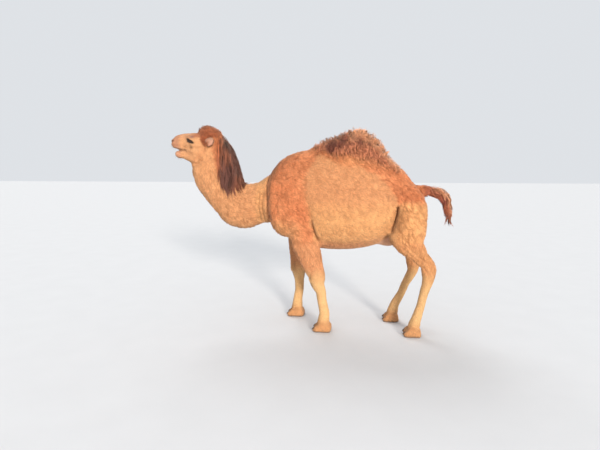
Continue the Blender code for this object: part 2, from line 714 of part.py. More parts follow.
def make_nail(name, foot_x, side_y, which, size):
    """A short broad nail on the upper front of one toe."""
    reach = FOOT_LENGTH * size
    bm = bmesh.new()
    bmesh.ops.create_icosphere(bm, subdivisions=2, radius=1.0)
    bmesh.ops.scale(bm, vec=(0.020, 0.017, 0.015), verts=bm.verts)
    bmesh.ops.rotate(bm, cent=(0, 0, 0), matrix=Matrix.Rotation(math.radians(-32), 3, "Y"), verts=bm.verts)
    centre = Vector((foot_x - 0.475 * reach, side_y + which * 0.048, 0.030))
    bmesh.ops.translate(bm, verts=bm.verts, vec=centre + BODY_MIDDLE)
    mesh = bpy.data.meshes.new(name)
    bm.to_mesh(mesh)
    bm.free()
    mesh.shade_smooth()
    return add_object(name, mesh, HORN)


def set_in_pieces(flesh):
    for side_name, side in (("left", -1), ("right", 1)):
        set_in(flesh, make_eye(f"eye_{side_name}", side))
        set_in(flesh, make_ear(f"ear_{side_name}", side))
    feet = {"foreleg": (FORE, FORE_SPREAD, 1.0), "hindleg": (HIND, HIND_SPREAD, 0.93)}
    for kind, (legs, spread, size) in feet.items():
        for side_name, numbers in legs.items():
            side, foot_x = numbers[0], numbers[-1]
            for which, word in ((-side, "inner"), (side, "outer")):
                name = f"toenail_{kind}_{side_name}_{word}"
                set_in(flesh, make_nail(name, foot_x, side * spread, which, size))


def stand_flat(flesh):
    """Cuts the soles flat at floor level."""
    below = add_helper("below", region([((0, 0, 0), (0, 0, 1))]))
    boolean(flesh, below, "DIFFERENCE")
    bpy.data.objects.remove(below)


def main():
    clear_scene()
    flesh = blended_flesh()
    stand_flat(flesh)
    set_in_pieces(flesh)
    part_the_flesh(flesh)


main()
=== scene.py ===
# %% [markdown]
# # Dressing a life-size camel
# The solids of a one-humped hybrid camel cow come in as a fixed frame: head, neck, trunk, hump, legs, tail,
# eyes, ears and toenails. This lesson gives her a skin, a coat, a mane, a woolly crest, eyes, ears and
# nails. Nothing of the frame is moved: a new piece stands in for the solids that it covers.

# %% Load the frame
import math

import bmesh
import bpy
import numpy as np
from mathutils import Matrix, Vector


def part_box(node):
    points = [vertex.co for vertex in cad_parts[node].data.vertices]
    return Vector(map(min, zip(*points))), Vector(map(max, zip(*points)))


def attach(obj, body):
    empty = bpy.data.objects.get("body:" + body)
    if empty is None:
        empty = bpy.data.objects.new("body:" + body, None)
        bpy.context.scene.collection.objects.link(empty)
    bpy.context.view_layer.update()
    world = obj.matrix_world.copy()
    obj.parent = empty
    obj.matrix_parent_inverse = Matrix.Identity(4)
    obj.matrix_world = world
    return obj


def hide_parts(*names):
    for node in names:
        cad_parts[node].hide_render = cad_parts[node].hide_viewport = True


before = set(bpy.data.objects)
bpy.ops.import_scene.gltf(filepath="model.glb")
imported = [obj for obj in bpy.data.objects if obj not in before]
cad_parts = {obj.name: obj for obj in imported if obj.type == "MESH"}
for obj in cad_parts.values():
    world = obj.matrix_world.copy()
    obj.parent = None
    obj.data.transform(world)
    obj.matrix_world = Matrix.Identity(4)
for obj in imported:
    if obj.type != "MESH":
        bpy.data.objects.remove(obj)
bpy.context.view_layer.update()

# %% [markdown]
# ## Small tools
# A coat is worked out for hundreds of thousands of points at once, so every tool here takes and returns
# whole numpy arrays. Random numbers come from one seeded generator, so each run gives the same camel.

# %% Colours, fades and random numbers
chance = np.random.default_rng(26)


def linear(hex_colour):
    """sRGB hex to linear light: each channel c is ((c + 0.055) / 1.055) to the power 2.4, or c / 12.92 when
    dark."""
    channels = np.array([int(hex_colour[k:k + 2], 16) for k in (1, 3, 5)]) / 255
    return np.where(channels <= 0.04045, channels / 12.92, ((channels + 0.055) / 1.055) ** 2.4)


def fade(value, start, end):
    """0 before start and 1 after end, with the smooth step 3t^2 - 2t^3 between. start may be the larger."""
    t = np.clip((value - start) / (end - start), 0, 1)
    return t * t * (3 - 2 * t)


def unit(vectors):
    """Each row divided by its own length."""
    return vectors / np.maximum(np.linalg.norm(vectors, axis=-1, keepdims=True), 1e-9)


def dot(a, b):
    """Row by row product, kept as a column."""
    return (a * b).sum(-1, keepdims=True)


print("sRGB #808080 in linear light:", linear("#808080")[0].round(3), "half faded:", fade(0.5, 0, 1))


# %% Folding and blending
def fold(points):
    """Both sides of the animal laid on one: y becomes its own size."""
    return points * (1, 0, 1) + np.abs(points) * (0, 1, 0)


def towards(base, own, share):
    """A mean of two values: the base where the share is 0, and the region's own where it is 1."""
    return base * (1 - share) + share * own


def blend(rows, target, share):
    """Moves rows, colours or ways, towards a target by a share for each."""
    return rows + share[:, None] * (target - rows)


def layered(rows, layers):
    """Blends a list of targets over the rows in turn, each by its own shares."""
    for target, share in layers:
        rows = blend(rows, target, share)
    return rows


print("a point folded:", fold(np.array([(1.0, -2.0, 3.0)]))[0], "a third towards 9:", towards(0, 9, 1 / 3))


# %% Noise in space
def scatter(cells, seed):
    """A number from 0 to 1 for each cell of a lattice: its three whole numbers are multiplied by large
    primes, added and mixed by shifts and products, so that neighbours have nothing in common."""
    mixed = (cells @ np.array([73856093, 19349663, 83492791]) + seed * 7919) & 0xFFFFFFFF
    for shift, factor in ((15, 2246822519), (13, 3266489917)):
        mixed = ((mixed ^ (mixed >> shift)) * factor) & 0xFFFFFFFF
    return ((mixed ^ (mixed >> 16)) & 0xFFFF) / 65535


def mottle(points, grain, seed=0):
    """Smooth noise from -1 to 1: random numbers at the corners of a lattice of this grain, blended along
    each axis."""
    at = points / grain
    cell = np.floor(at).astype(np.int64)
    t = fade(at - cell, 0, 1)
    total = 0.0
    for corner in np.ndindex(2, 2, 2):
        corner = np.array(corner)
        total = total + np.prod(np.where(corner, t, 1 - t), axis=1) * scatter(cell + corner, seed)
    return 2 * total - 1


def clump(points, grain, seed=0):
    """Gathers points round random centres, one in each cell of a lattice. Returns the way from each point
    to its nearest centre, in grains, and that centre's own number from 0 to 1."""
    cell = np.floor(points / grain).astype(np.int64)
    least = np.full(len(points), np.inf)
    way = np.zeros((len(points), 3))
    number = np.zeros(len(points))
    for step in np.ndindex(3, 3, 3):
        near = cell + np.array(step) - 1
        centre = (near + np.stack([scatter(near, seed + k) for k in (1, 2, 3)], 1)) * grain
        gap = centre - points
        far = (gap * gap).sum(1)
        closer = far < least
        least[closer] = far[closer]
        way[closer] = gap[closer] / grain
        number[closer] = scatter(near[closer], seed + 4)
    return way, number


row_of_points = np.linspace(0, 1, 6)[:, None] * (1, 1, 1)
print("noise along a row:", mottle(row_of_points, 0.3).round(2))
print("clumps along it:", clump(row_of_points, 0.6)[1].round(2))


# %% Meshes from arrays
def mesh_from(name, points, faces):
    """A smooth-shaded mesh from points and from faces that all have the same number of corners, put in
    whole."""
    mesh = bpy.data.meshes.new(name)
    mesh.vertices.add(len(points))
    mesh.vertices.foreach_set("co", np.asarray(points, np.float32).ravel())
    mesh.loops.add(faces.size)
    mesh.loops.foreach_set("vertex_index", faces.astype(np.int32).ravel())
    mesh.polygons.add(len(faces))
    mesh.polygons.foreach_set("loop_start", np.arange(0, faces.size, faces.shape[1], dtype=np.int32))
    mesh.update(calc_edges=True)
    mesh.shade_smooth()
    return mesh


def numbers(items, name, width, kind=np.float32):
    """One property of a mesh's vertices, edges or faces, as an array with a row for each."""
    found = np.empty(len(items) * width, kind)
    items.foreach_get(name, found)
    return found.reshape(-1, width) if width > 1 else found


def paint(mesh, name, values):
    """Keeps a colour, or a number, for each vertex, for the materials to read."""
    kind, key = ("FLOAT_COLOR", "color") if values.ndim == 2 else ("FLOAT", "value")
    if values.ndim == 2:
        values = np.hstack([values, np.ones((len(values), 1))])
    mesh.attributes.new(name, kind, "POINT").data.foreach_set(key, values.astype(np.float32).ravel())


# %% Objects and pieces
def in_scene(name, data):
    """A new object in the scene that holds this mesh, lamp or camera."""
    made = bpy.data.objects.new(name, data)
    bpy.context.scene.collection.objects.link(made)
    return made


def with_modifier(mesh, kind, **settings):
    """A new mesh: this one after one modifier with these settings."""
    holder = in_scene("holder", mesh)
    modifier = holder.modifiers.new("step", kind)
    for key, value in settings.items():
        setattr(modifier, key, value)
    made = bpy.data.meshes.new_from_object(holder.evaluated_get(bpy.context.evaluated_depsgraph_get()))
    bpy.data.objects.remove(holder)
    return made


def piece(name, mesh, finish, nodes=()):
    """Puts a finished mesh on show: it rides on the body, has its finish, and stands for these solids."""
    made = in_scene(name, mesh)
    mesh.materials.clear()
    mesh.materials.append(finish)
    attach(made, "root")
    if nodes:
        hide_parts(*nodes)
    mesh.calc_loop_triangles()
    print(f"{name}: {len(mesh.loop_triangles)} triangles")


# %% Closed tubes
def capped_tube(name, points, rows, columns):
    """A closed tube from rows of points, each row a ring: quads join the rings and a face covers each end.
    The faces are turned to point out."""
    at = np.arange(rows * columns).reshape(rows, columns)
    after = np.roll(at, -1, axis=1)
    walls = np.stack([at[:-1], after[:-1], after[1:], at[1:]], -1).reshape(-1, 4)
    ends = [at[0, ::-1].tolist(), at[-1].tolist()]
    mesh = bpy.data.meshes.new(name)
    mesh.from_pydata(points.reshape(-1, 3).tolist(), [], walls.tolist() + ends)
    bm = bmesh.new()
    bm.from_mesh(mesh)
    bmesh.ops.recalc_face_normals(bm, faces=bm.faces)
    bm.to_mesh(mesh)
    bm.free()
    mesh.shade_smooth()
    return mesh


# %% Material nodes
def finish_of(name, **sockets):
    """A material with its shader's own sockets set. Returns it and the shader."""
    made = bpy.data.materials.new(name)
    made.use_nodes = True
    shader = made.node_tree.nodes["Principled BSDF"]
    for socket, value in sockets.items():
        shader.inputs[socket.replace("_", " ")].default_value = value
    return made, shader


def add_node(finish, kind, settings=None, inputs=None):
    """One node with its settings, and its inputs: a value is set and a socket is linked."""
    made = finish.node_tree.nodes.new(kind)
    for key, value in (settings or {}).items():
        setattr(made, key, value)
    for key, value in (inputs or {}).items():
        if isinstance(value, bpy.types.NodeSocket):
            finish.node_tree.links.new(value, made.inputs[key])
        else:
            made.inputs[key].default_value = value
    return made


def join_to(finish, socket, target):
    """Links an output to an input."""
    finish.node_tree.links.new(socket, target)


# %% [markdown]
# ## Where things are
# Every place comes from the frame. The trunk's middle is a point on the floor 0.27 m behind the cut that
# ends the shoulders, and lines drawn on the animal are written about it. x runs to the tail, y to her right
# and z up.

# %% Landmarks
MIDDLE = np.array([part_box("trunk_barrel")[0][0] + 0.27, 0.0, 0.0])
eye_low, eye_high = (np.array(corner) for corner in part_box("eye_left"))
EYE = (eye_low + eye_high) / 2 * (1, -1, 1) - MIDDLE
EYE_RADIUS = (eye_high - eye_low)[2] / 2
LIMBS = [f"{kind}_{side}" for kind in ("foreleg", "hindleg") for side in ("left", "right")]
LIMB_PARTS = {"foreleg": ("forearm", "shin", "foot"), "hindleg": ("thigh", "gaskin", "shin", "foot")}
print("trunk middle", MIDDLE.round(3), "eye", EYE.round(3), "radius", round(float(EYE_RADIUS), 4))


def places_of(mesh):
    """A mesh's vertices about the trunk's middle."""
    return numbers(mesh.vertices, "co", 3) - MIDDLE


def leg_line(limb):
    """The middle line of a leg, from the top down: the mean of its solids' corners at even heights."""
    solids = [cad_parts[f"{limb}_{part}"].data for part in LIMB_PARTS[limb.split("_")[0]]]
    points = np.vstack([places_of(solid) for solid in solids])
    heights = np.linspace(0.98, 0.03, 12)
    near = np.abs(points[:, 2] - heights[:, None]) < 0.06
    return np.array([np.append(points[row, :2].mean(0), height) for row, height in zip(near, heights)])


# Middle lines in the plane of the body, from the end that the hair grows away from.
LINES = {
    "head": np.array([(-1.92, 0, 1.88), (-1.70, 0, 1.86), (-1.55, 0, 1.88), (-1.42, 0, 1.90)]),
    "neck": np.array([
        (-1.52, 0, 1.84), (-1.50, 0, 1.66), (-1.47, 0, 1.54), (-1.40, 0, 1.42), (-1.31, 0, 1.31),
        (-1.21, 0, 1.24), (-1.10, 0, 1.22), (-0.99, 0, 1.25), (-0.86, 0, 1.29), (-0.70, 0, 1.30),
    ]),
    "trunk": np.array([
        (-0.90, 0, 1.30), (-0.45, 0, 1.24), (0.10, 0, 1.20), (0.50, 0, 1.24), (0.80, 0, 1.22),
    ]),
    "tail": np.array([
        (0.62, 0, 1.400), (0.71, 0.010, 1.413), (0.80, 0.030, 1.405), (0.875, 0.048, 1.388),
        (0.930, 0.062, 1.345), (0.962, 0.074, 1.280), (0.975, 0.082, 1.210), (0.981, 0.088, 1.090),
    ]),
}
LINES.update({limb: leg_line(limb) for limb in LIMBS})


print("middle lines:", ", ".join(LINES))


# %% The nearest place on a line
def along_line(points, line):
    """The nearest place on a broken line: the distance to it, how far along it lies from 0 to 1, the line's
    way there and the offset from it."""
    steps = np.diff(line, axis=0)
    lengths = np.linalg.norm(steps, axis=1)
    starts = np.concatenate([[0], np.cumsum(lengths)])
    least = np.full(len(points), np.inf)
    place = np.zeros(len(points))
    way = np.zeros((len(points), 3))
    offset = np.zeros((len(points), 3))
    for start, step, length, before in zip(line, steps, lengths, starts):
        t = np.clip(((points - start) @ step) / length**2, 0, 1)
        gap = points - start - t[:, None] * step
        far = np.linalg.norm(gap, axis=1)
        closer = far < least
        least[closer] = far[closer]
        place[closer] = (before + t * length)[closer] / starts[-1]
        way[closer] = step / length
        offset[closer] = gap[closer]
    return least, place, way, offset


# %% [markdown]
# ## Regions of the animal
# Coat depth, colour and lie all change from place to place, and they change together at the same borders.
# So the borders are drawn once, as soft masks from 0 to 1. Painted masks would do as well, but borders
# written in metres can be read and moved.

# %% Borders
# Borders on her side as rows of (x, z), and the front borders of mane and flank as rows of (z, x).
MANE_HEM = np.array([
    (-1.43, 1.70), (-1.375, 1.56), (-1.32, 1.475), (-1.21, 1.455), (-1.12, 1.47), (-1.04, 1.50),
])
MANE_FRONT = np.array([
    (1.40, -1.30), (1.50, -1.36), (1.63, -1.33), (1.76, -1.33), (1.89, -1.31), (1.98, -1.34),
])
CROWN_EDGE = np.array([
    (-1.62, 1.985), (-1.575, 1.975), (-1.55, 1.92), (-1.51, 1.875), (-1.48, 1.90), (-1.44, 1.935),
    (-1.36, 1.945),
])
FLANK_FRONT = np.array([
    (1.03, -0.345), (1.13, -0.373), (1.24, -0.398), (1.35, -0.43), (1.465, -0.439), (1.59, -0.41),
    (1.70, -0.35),
])
FLANK_EDGE = np.array([
    (-0.50, 1.70), (-0.38, 1.74), (-0.30, 1.79), (-0.24, 1.77), (-0.15, 1.69), (-0.02, 1.665), (0.105, 1.65),
    (0.26, 1.59), (0.37, 1.48), (0.44, 1.36), (0.48, 1.25),
])
CREST_EDGE = np.array([
    (-0.47, 1.845), (-0.36, 1.815), (-0.28, 1.80), (-0.235, 1.775), (-0.20, 1.735), (-0.15, 1.71),
    (-0.05, 1.725), (0.10, 1.71), (0.245, 1.66), (0.34, 1.615), (0.42, 1.58), (0.55, 1.50),
])


print("the crest's lower edge has", len(CREST_EDGE), "points, the mane's hem", len(MANE_HEM))


# %% Region masks
def above(x, z, edge):
    """How far a place lies over a border on her side."""
    return z - np.interp(x, *edge.T)


def behind_head(points):
    """How far a place lies behind the slanting plane where the head ends, from the crown to the angle of
    the jaw."""
    return (points[:, 0] + 1.535) * 0.715 - (points[:, 2] - 1.822) * 0.699


def regions(points):
    """Soft masks from 0 to 1 for places about the trunk's middle. Wavy edges come from noise added to the
    place."""
    wavy = points + 0.022 * np.stack([mottle(points, 0.09, seed) for seed in (3, 4, 5)], 1)
    wavy += 0.012 * np.stack([mottle(points, 0.030, seed) for seed in (6, 7, 8)], 1)
    x, y, z = points.T
    wide = np.abs(y)
    wx, _, wz = wavy.T
    head = fade(behind_head(points), 0.03, -0.03)
    neck = (1 - head) * fade(x, -0.80, -0.90)
    tail = fade(x, 0.76, 0.80) * fade(z, 1.0, 1.06) * fade(x - z * 0.3, 0.28, 0.34)
    between_legs = fade(x, 0.28, 0.24) * fade(x, -0.28, -0.24)
    leg = fade(z, 0.97, 0.84) * fade(wide, 0.10, 0.14) * (1 - fade(z, 0.88, 0.95) * between_legs)
    crown = fade(x, -1.645, -1.595) * fade(wx, -1.35, -1.41) * fade(above(wx, wz, CROWN_EDGE), -0.012, 0.020)
    mane = fade(wx, -1.400, -1.350) * fade(above(wx, wz, MANE_HEM), -0.02, 0.02) * fade(x, -1.06, -1.12)
    mane = np.maximum(mane, head * fade(wx, -1.43, -1.39) * fade(wz, 1.84, 1.90)) * (1 - crown)
    crest = fade(wx, -0.42, -0.34) * fade(above(wx, wz, CREST_EDGE), -0.050, 0.070) * fade(wx, 0.53, 0.42)
    under_edge = fade(above(wx, wz, FLANK_EDGE), 0.020, -0.045)
    from_front = wx - np.interp(wz, *FLANK_FRONT.T)
    flank = fade(from_front, -0.032, 0.032) * under_edge * fade(wx, 0.52, 0.43) * fade(z, 0.72, 0.80)
    flank *= (1 - crest) * (1 - leg)
    haunch = fade(wz, 1.345, 1.26) * fade(wx, 0.42, 0.49) * (1 - leg) * (1 - tail)
    belly = fade(z, 1.02, 0.90) * (1 - leg) * fade(wide, 0.30, 0.20)
    udder = fade(np.sqrt(((x - 0.37) / 0.16) ** 2 + (y / 0.13) ** 2 + ((z - 0.93) / 0.12) ** 2), 1.12, 0.95)
    callus = fade(np.hypot((x + 0.43) / 0.105, y / 0.065), 1.1, 0.8) * fade(z, 0.90, 0.84)
    for limb in LIMBS[:2]:
        knee = points - LINES[limb][6] - (-0.062, 0, 0.005)
        callus = np.maximum(callus, fade(np.linalg.norm(knee / (0.045, 0.036, 0.050), axis=1), 1.1, 0.7))
    return {
        "head": head, "neck": neck, "tail": tail, "leg": leg, "mane": mane, "crest": crest, "flank": flank,
        "crown": crown, "haunch": haunch, "belly": belly, "udder": udder, "callus": callus,
    }


# %% [markdown]
# ## The skin
# On the animal one skin runs over everything. A Boolean union of the solids would keep a crease at every
# seam, so a new skin is grown over them. The solids have thin gaps where they part, so their copies are
# swollen by a millimetre until they overlap, and a voxel remesh fuses them into one closed surface. The
# facets are then smoothed away, widely on the trunk and little on legs and head, and the surface sinks by
# the depth of the coat that will stand on it.

# %% Fuse the flesh
SWELL, SKIN_GRAIN = 0.001, 0.006
covered = [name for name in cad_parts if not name.startswith(("eye", "ear", "toenail"))]


def fused(names):
    """One closed surface round copies of these solids: doubles merged, swollen along their normals, then
    remeshed."""
    bm = bmesh.new()
    for name in names:
        bm.from_mesh(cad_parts[name].data)
    bmesh.ops.remove_doubles(bm, verts=bm.verts, dist=1e-5)
    bmesh.ops.recalc_face_normals(bm, faces=bm.faces)
    loose = bpy.data.meshes.new("loose")
    bm.to_mesh(loose)
    bm.free()
    points = numbers(loose.vertices, "co", 3) + SWELL * numbers(loose.vertex_normals, "vector", 3)
    loose.vertices.foreach_set("co", points.ravel())
    return with_modifier(loose, "REMESH", mode="VOXEL", voxel_size=SKIN_GRAIN)


# %% Smooth the facets away
def smoothed(values, edges, turns, share=1.0):
    """Moves each vertex's value towards the mean of its neighbours' values, by its share, this many times."""
    a, b = edges.T
    count = len(values)
    degree = np.maximum(np.bincount(a, minlength=count) + np.bincount(b, minlength=count), 1)
    flat = values.reshape(count, -1).T.astype(np.float64)
    for _ in range(turns):
        mean = [(np.bincount(a, row[b], count) + np.bincount(b, row[a], count)) / degree for row in flat]
        flat = flat + share * (np.array(mean) - flat)
    return flat.T.reshape(values.shape)


def set_places(mesh, places):
    """Moves a mesh's vertices to these places about the trunk's middle."""
    mesh.vertices.foreach_set("co", (places + MIDDLE).astype(np.float32).ravel())
    mesh.update()


skin = fused(covered + ["eye_left", "eye_right"])
skin_edges = numbers(skin.edges, "vertices", 2, np.int32)
places = places_of(skin)
area = regions(places)
# Head, legs, tail and feet keep their edges better than the trunk, so they are held firm.
foot = fade(places[:, 2], 0.14, 0.08)
firm = np.clip(0.93 * area["head"] + 0.80 * area["leg"] + 0.8 * area["tail"] + foot, 0, 0.96)
places = smoothed(places, skin_edges, 50, 1 - firm)
set_places(skin, places)
print("fused skin:", len(places), "vertices")


# %% Sink by the coat's depth
def coat_depth(points):
    """How deep the coat stands over the skin, in metres: the body's depth, then each region's own."""
    area = regions(points)
    z = points[:, 2]
    depth = 0.011 - 0.004 * area["flank"] - 0.003 * area["belly"] + area["neck"] * 0.001
    for part, own in (
        ("leg", 0.0022 + 0.005 * fade(z, 0.5, 0.9)),
        ("head", 0.003 - 0.0015 * fade(points[:, 0], -1.74, -1.84)),
        ("tail", 0.020 - 0.012 * fade(z, 1.30, 1.14)),
        ("crest", 0.030), ("mane", 0.026), ("crown", 0.016), ("udder", 0.001), ("callus", 0.001),
    ):
        depth = towards(depth, own, area[part])
    return depth * fade(z, 0.004, 0.02)


depth = smoothed(coat_depth(places), skin_edges, 12)
places = places - depth[:, None] * numbers(skin.vertex_normals, "vector", 3)
places[:, 2] = np.maximum(places[:, 2], 0)
places = smoothed(places, skin_edges, 4, 0.5 * (1 - foot))
set_places(skin, places)
print("coat depth", depth.min().round(4), "to", depth.max().round(4))

# %% [markdown]
# ## Sculpting
# Nostrils, lips, tendons, folds and muscles are small forms that the smooth skin still lacks. Sculpt
# brushes could draw them by hand, but lines in metres come out the same on both sides and in every run.
# Each is a line near the surface: a groove or a ridge falls off with the distance d from its line as
# exp(-(d / width)^2). The head needs a finer net for its lids, lips and nostrils, so its faces are divided
# first.


# %% Finer net on the head
def divided(mesh, chosen):
    """Halves every edge whose two ends are chosen."""
    ends = numbers(mesh.edges, "vertices", 2, np.int32)
    wanted = np.flatnonzero(chosen[ends].all(1))
    bm = bmesh.new()
    bm.from_mesh(mesh)
    bm.edges.ensure_lookup_table()
    bmesh.ops.subdivide_edges(bm, edges=[bm.edges[k] for k in wanted], cuts=1, use_grid_fill=True)
    bm.to_mesh(mesh)
    bm.free()


def face_part(points):
    """The parts of the face with the finest forms: eyes, nostrils and lips."""
    return (np.linalg.norm(fold(points) - EYE, axis=1) < 0.046) | (points[:, 0] < -1.775)


divided(skin, behind_head(places) < -0.02)
divided(skin, face_part(places_of(skin)))
skin_edges = numbers(skin.edges, "vertices", 2, np.int32)
places = places_of(skin)
area = regions(places)
places = smoothed(places, skin_edges, 6, 0.5 * fade(area["head"], 0.2, 0.8))
set_places(skin, places)
print("with a finer head:", len(places), "vertices")


# %% Pressing a line into the skin
def press(points, line, width, rise):
    """How far each point rises: rise * exp(-(d / width)^2), d the distance to the line. A negative rise is
    a groove."""
    return rise * np.exp(-(along_line(points, np.array(line))[0] / width) ** 2)


def side_press(folded, line, width, rise):
    """The same for a line given in x and z, which is pressed straight into her side, but not under her
    middle."""
    line = np.array([(x, 0, z) for x, z in line])
    return press(folded * (1, 0, 1), line, width, rise) * fade(folded[:, 1], 0.06, 0.12)


beside = press(np.array([(0.5, 0.01, 0)]), [(0, 0, 0), (1, 0, 0)], 0.02, 1.0)
print("share of the rise at half a width from the line:", beside.round(2))

# %% Forms of the face
# Each form is a line on one side of her, its width and its rise.
NOSTRIL = [(-1.909, 0.017, 1.888), (-1.903, 0.032, 1.905), (-1.884, 0.049, 1.924)]
MOUTH = [
    (-1.851, 0.0, 1.825), (-1.841, 0.016, 1.825), (-1.820, 0.030, 1.824), (-1.790, 0.039, 1.822),
    (-1.760, 0.046, 1.820), (-1.745, 0.056, 1.818),
]
LIP_CLEFT = [(-1.909, 0.0, 1.888), (-1.902, 0.0, 1.868), (-1.889, 0.0, 1.848)]
CHEEK_BONE = [(-1.755, 0.07, 1.872), (-1.70, 0.09, 1.880), (-1.62, 0.105, 1.872), (-1.55, 0.11, 1.865)]
FORMS = [
    # Nostril slit and its two rims, the cleft of the upper lip, the mouth's line and its corner.
    (NOSTRIL, 0.0062, -0.019), ([(-1.910, 0.026, 1.912), (-1.890, 0.040, 1.934)], 0.008, 0.006),
    ([(-1.904, 0.038, 1.888), (-1.880, 0.056, 1.908)], 0.009, 0.006),
    (LIP_CLEFT, 0.0045, -0.009), (MOUTH, 0.0060, -0.013),
    ([(-1.76, 0.055, 1.83), (-1.745, 0.056, 1.80)], 0.008, -0.004),
    # Full upper and lower lips, and the chin.
    ([(-1.885, 0.036, 1.862), (-1.84, 0.052, 1.850), (-1.79, 0.056, 1.845)], 0.010, 0.004),
    ([(-1.870, 0.044, 1.876), (-1.82, 0.056, 1.872)], 0.007, -0.003),
    ([(-1.865, 0.030, 1.790), (-1.82, 0.042, 1.795)], 0.012, 0.004),
    ([(-1.79, 0.03, 1.745), (-1.76, 0.035, 1.735)], 0.012, -0.003),
    # Cheek bone, its hollow, the jaw's edge, the bridge of the nose and the hollow beside it.
    (CHEEK_BONE, 0.014, 0.006),
    ([(-1.75, 0.07, 1.845), (-1.67, 0.09, 1.842), (-1.60, 0.10, 1.835)], 0.016, -0.006),
    ([(-1.62, 0.08, 1.955), (-1.59, 0.08, 1.945)], 0.020, -0.006),
    ([(-1.84, 0.056, 1.925), (-1.78, 0.064, 1.935), (-1.73, 0.074, 1.930)], 0.016, -0.007),
    ([(-1.86, 0.030, 1.975), (-1.78, 0.044, 1.992), (-1.71, 0.055, 1.995)], 0.014, 0.004),
    ([(-1.69, 0.060, 1.715), (-1.61, 0.085, 1.705), (-1.55, 0.095, 1.745)], 0.013, 0.006),
    ([(-1.66, 0.060, 1.690), (-1.585, 0.085, 1.690), (-1.535, 0.10, 1.73)], 0.012, -0.007),
    # The crease between the haunches.
    ([(0.745, 0.0, 1.32), (0.730, 0.0, 1.15), (0.66, 0.0, 1.00)], 0.022, -0.018),
]
print("forms of the face:", len(FORMS) - 1)

# %% Forms of her side
# In x and z: the crease before the shoulder, the elbow's, and the fold before the thigh.
SHOULDER_CREASE = [(-0.850, 1.50), (-0.830, 1.40), (-0.821, 1.25), (-0.812, 1.08)]
ELBOW_CREASE = [(-0.352, 1.12), (-0.335, 1.03), (-0.30, 0.93)]
FLANK_FOLD = [(0.468, 1.26), (0.459, 1.20), (0.442, 1.12), (0.41, 1.03)]
SIDE_FORMS = [
    (SHOULDER_CREASE, 0.015, -0.020), (ELBOW_CREASE, 0.013, -0.016), (FLANK_FOLD, 0.013, -0.028),
    # Folds where the neck bends into the chest, and the swell of the shoulder behind them.
    ([(-0.965, 1.36), (-0.975, 1.24), (-0.965, 1.10)], 0.011, -0.006),
    ([(-0.925, 1.37), (-0.935, 1.24), (-0.925, 1.09)], 0.011, -0.008),
    ([(-0.884, 1.38), (-0.892, 1.24), (-0.880, 1.08)], 0.011, -0.009),
    ([(-0.905, 1.36), (-0.913, 1.24), (-0.903, 1.10)], 0.009, 0.004),
    ([(-0.775, 1.46), (-0.765, 1.30), (-0.755, 1.15)], 0.030, 0.010),
    # Shoulder blade and its muscle, elbow, the swells beside the fold, the hip and the groove down the thigh.
    ([(-0.46, 1.50), (-0.41, 1.32), (-0.37, 1.16)], 0.040, -0.008),
    ([(-0.58, 1.45), (-0.60, 1.25), (-0.52, 1.10)], 0.080, 0.008),
    ([(-0.41, 1.05), (-0.37, 0.93)], 0.030, 0.006), ([(0.405, 1.20), (0.38, 1.08)], 0.030, 0.007),
    ([(0.53, 1.22), (0.50, 1.06)], 0.040, 0.008), ([(0.50, 1.50), (0.55, 1.46)], 0.045, 0.007),
    ([(0.64, 1.30), (0.61, 1.10), (0.57, 0.97)], 0.035, -0.006),
]


print("forms of her side:", len(SIDE_FORMS))


# %% Forms of each leg
def tendons(limb):
    """Grooves beside the tendon behind each cannon, and a cleft between the toes, on the leg's own line."""
    line = LINES[limb]
    wide = abs(line[-1][1])
    cannon = fold(line[7:10] + (0.012, 0, 0))
    toes = (line[-1][0] - 0.09, wide, 0.055), (line[-1][0] - 0.05, wide, 0.092)
    return [(cannon + (0, y, 0), 0.008, -0.004) for y in (-0.045, 0.045)] + [(toes, 0.010, -0.008)]


def muscles(limb):
    """Two grooves down the upper leg in x and z, between its long muscles."""
    upper = LINES[limb][1:5, (0, 2)]
    return [(upper + (-0.022, 0), 0.010, -0.004), (upper + (0.030, 0), 0.012, -0.005)]


print("forms of a leg:", len(tendons(LIMBS[0])) + len(muscles(LIMBS[0])))


# %% Curls
def wool_waves(points):
    """Woolly hair stands in waves: 1 on their crests and 0 in the furrows between. The furrows lie where a
    smooth noise, drawn out up and down and bent by another, passes through nothing: its size from 0 to 0.34
    is stretched to 0 to 1."""
    bent = points + 0.012 * np.stack([mottle(points, 0.040, seed) for seed in (31, 32, 33)], 1)
    broad = np.abs(mottle(bent * (1, 1, 0.62), 0.031, 34))
    fine = np.abs(mottle(bent * (1, 1, 0.70), 0.015, 35))
    return 0.68 * fade(broad, 0.0, 0.34) + 0.32 * fade(fine, 0.0, 0.30)


def curl_share(area, z):
    """How strongly the hair waves at each place."""
    curly = (1 - 0.30 * area["flank"] - 0.15 * area["neck"] - 0.45 * area["belly"]) * (1 - area["mane"])
    curly = curly * (1 - area["leg"] * (0.25 + 0.60 * fade(z, 0.75, 0.50)))
    return curly * (1 - 0.85 * area["head"]) * (1 - area["udder"])


waves = wool_waves(places)
print("mean height of the waves:", waves.mean().round(2))


# %% Press them all in
def sculpt(points):
    """The rise over the whole animal, in metres. y is folded to one side, so both sides get the same forms.
    The legs' own forms are kept to their side."""
    folded = fold(points)
    rise = sum(press(folded, *form) for form in FORMS) + sum(side_press(folded, *form) for form in SIDE_FORMS)
    for limb in LIMBS:
        own = np.sign(points[:, 1]) == (-1 if limb.endswith("left") else 1)
        rise = rise + own * sum(press(folded, *form) for form in tendons(limb))
        rise = rise + own * sum(side_press(folded, *form) for form in muscles(limb))
    return rise


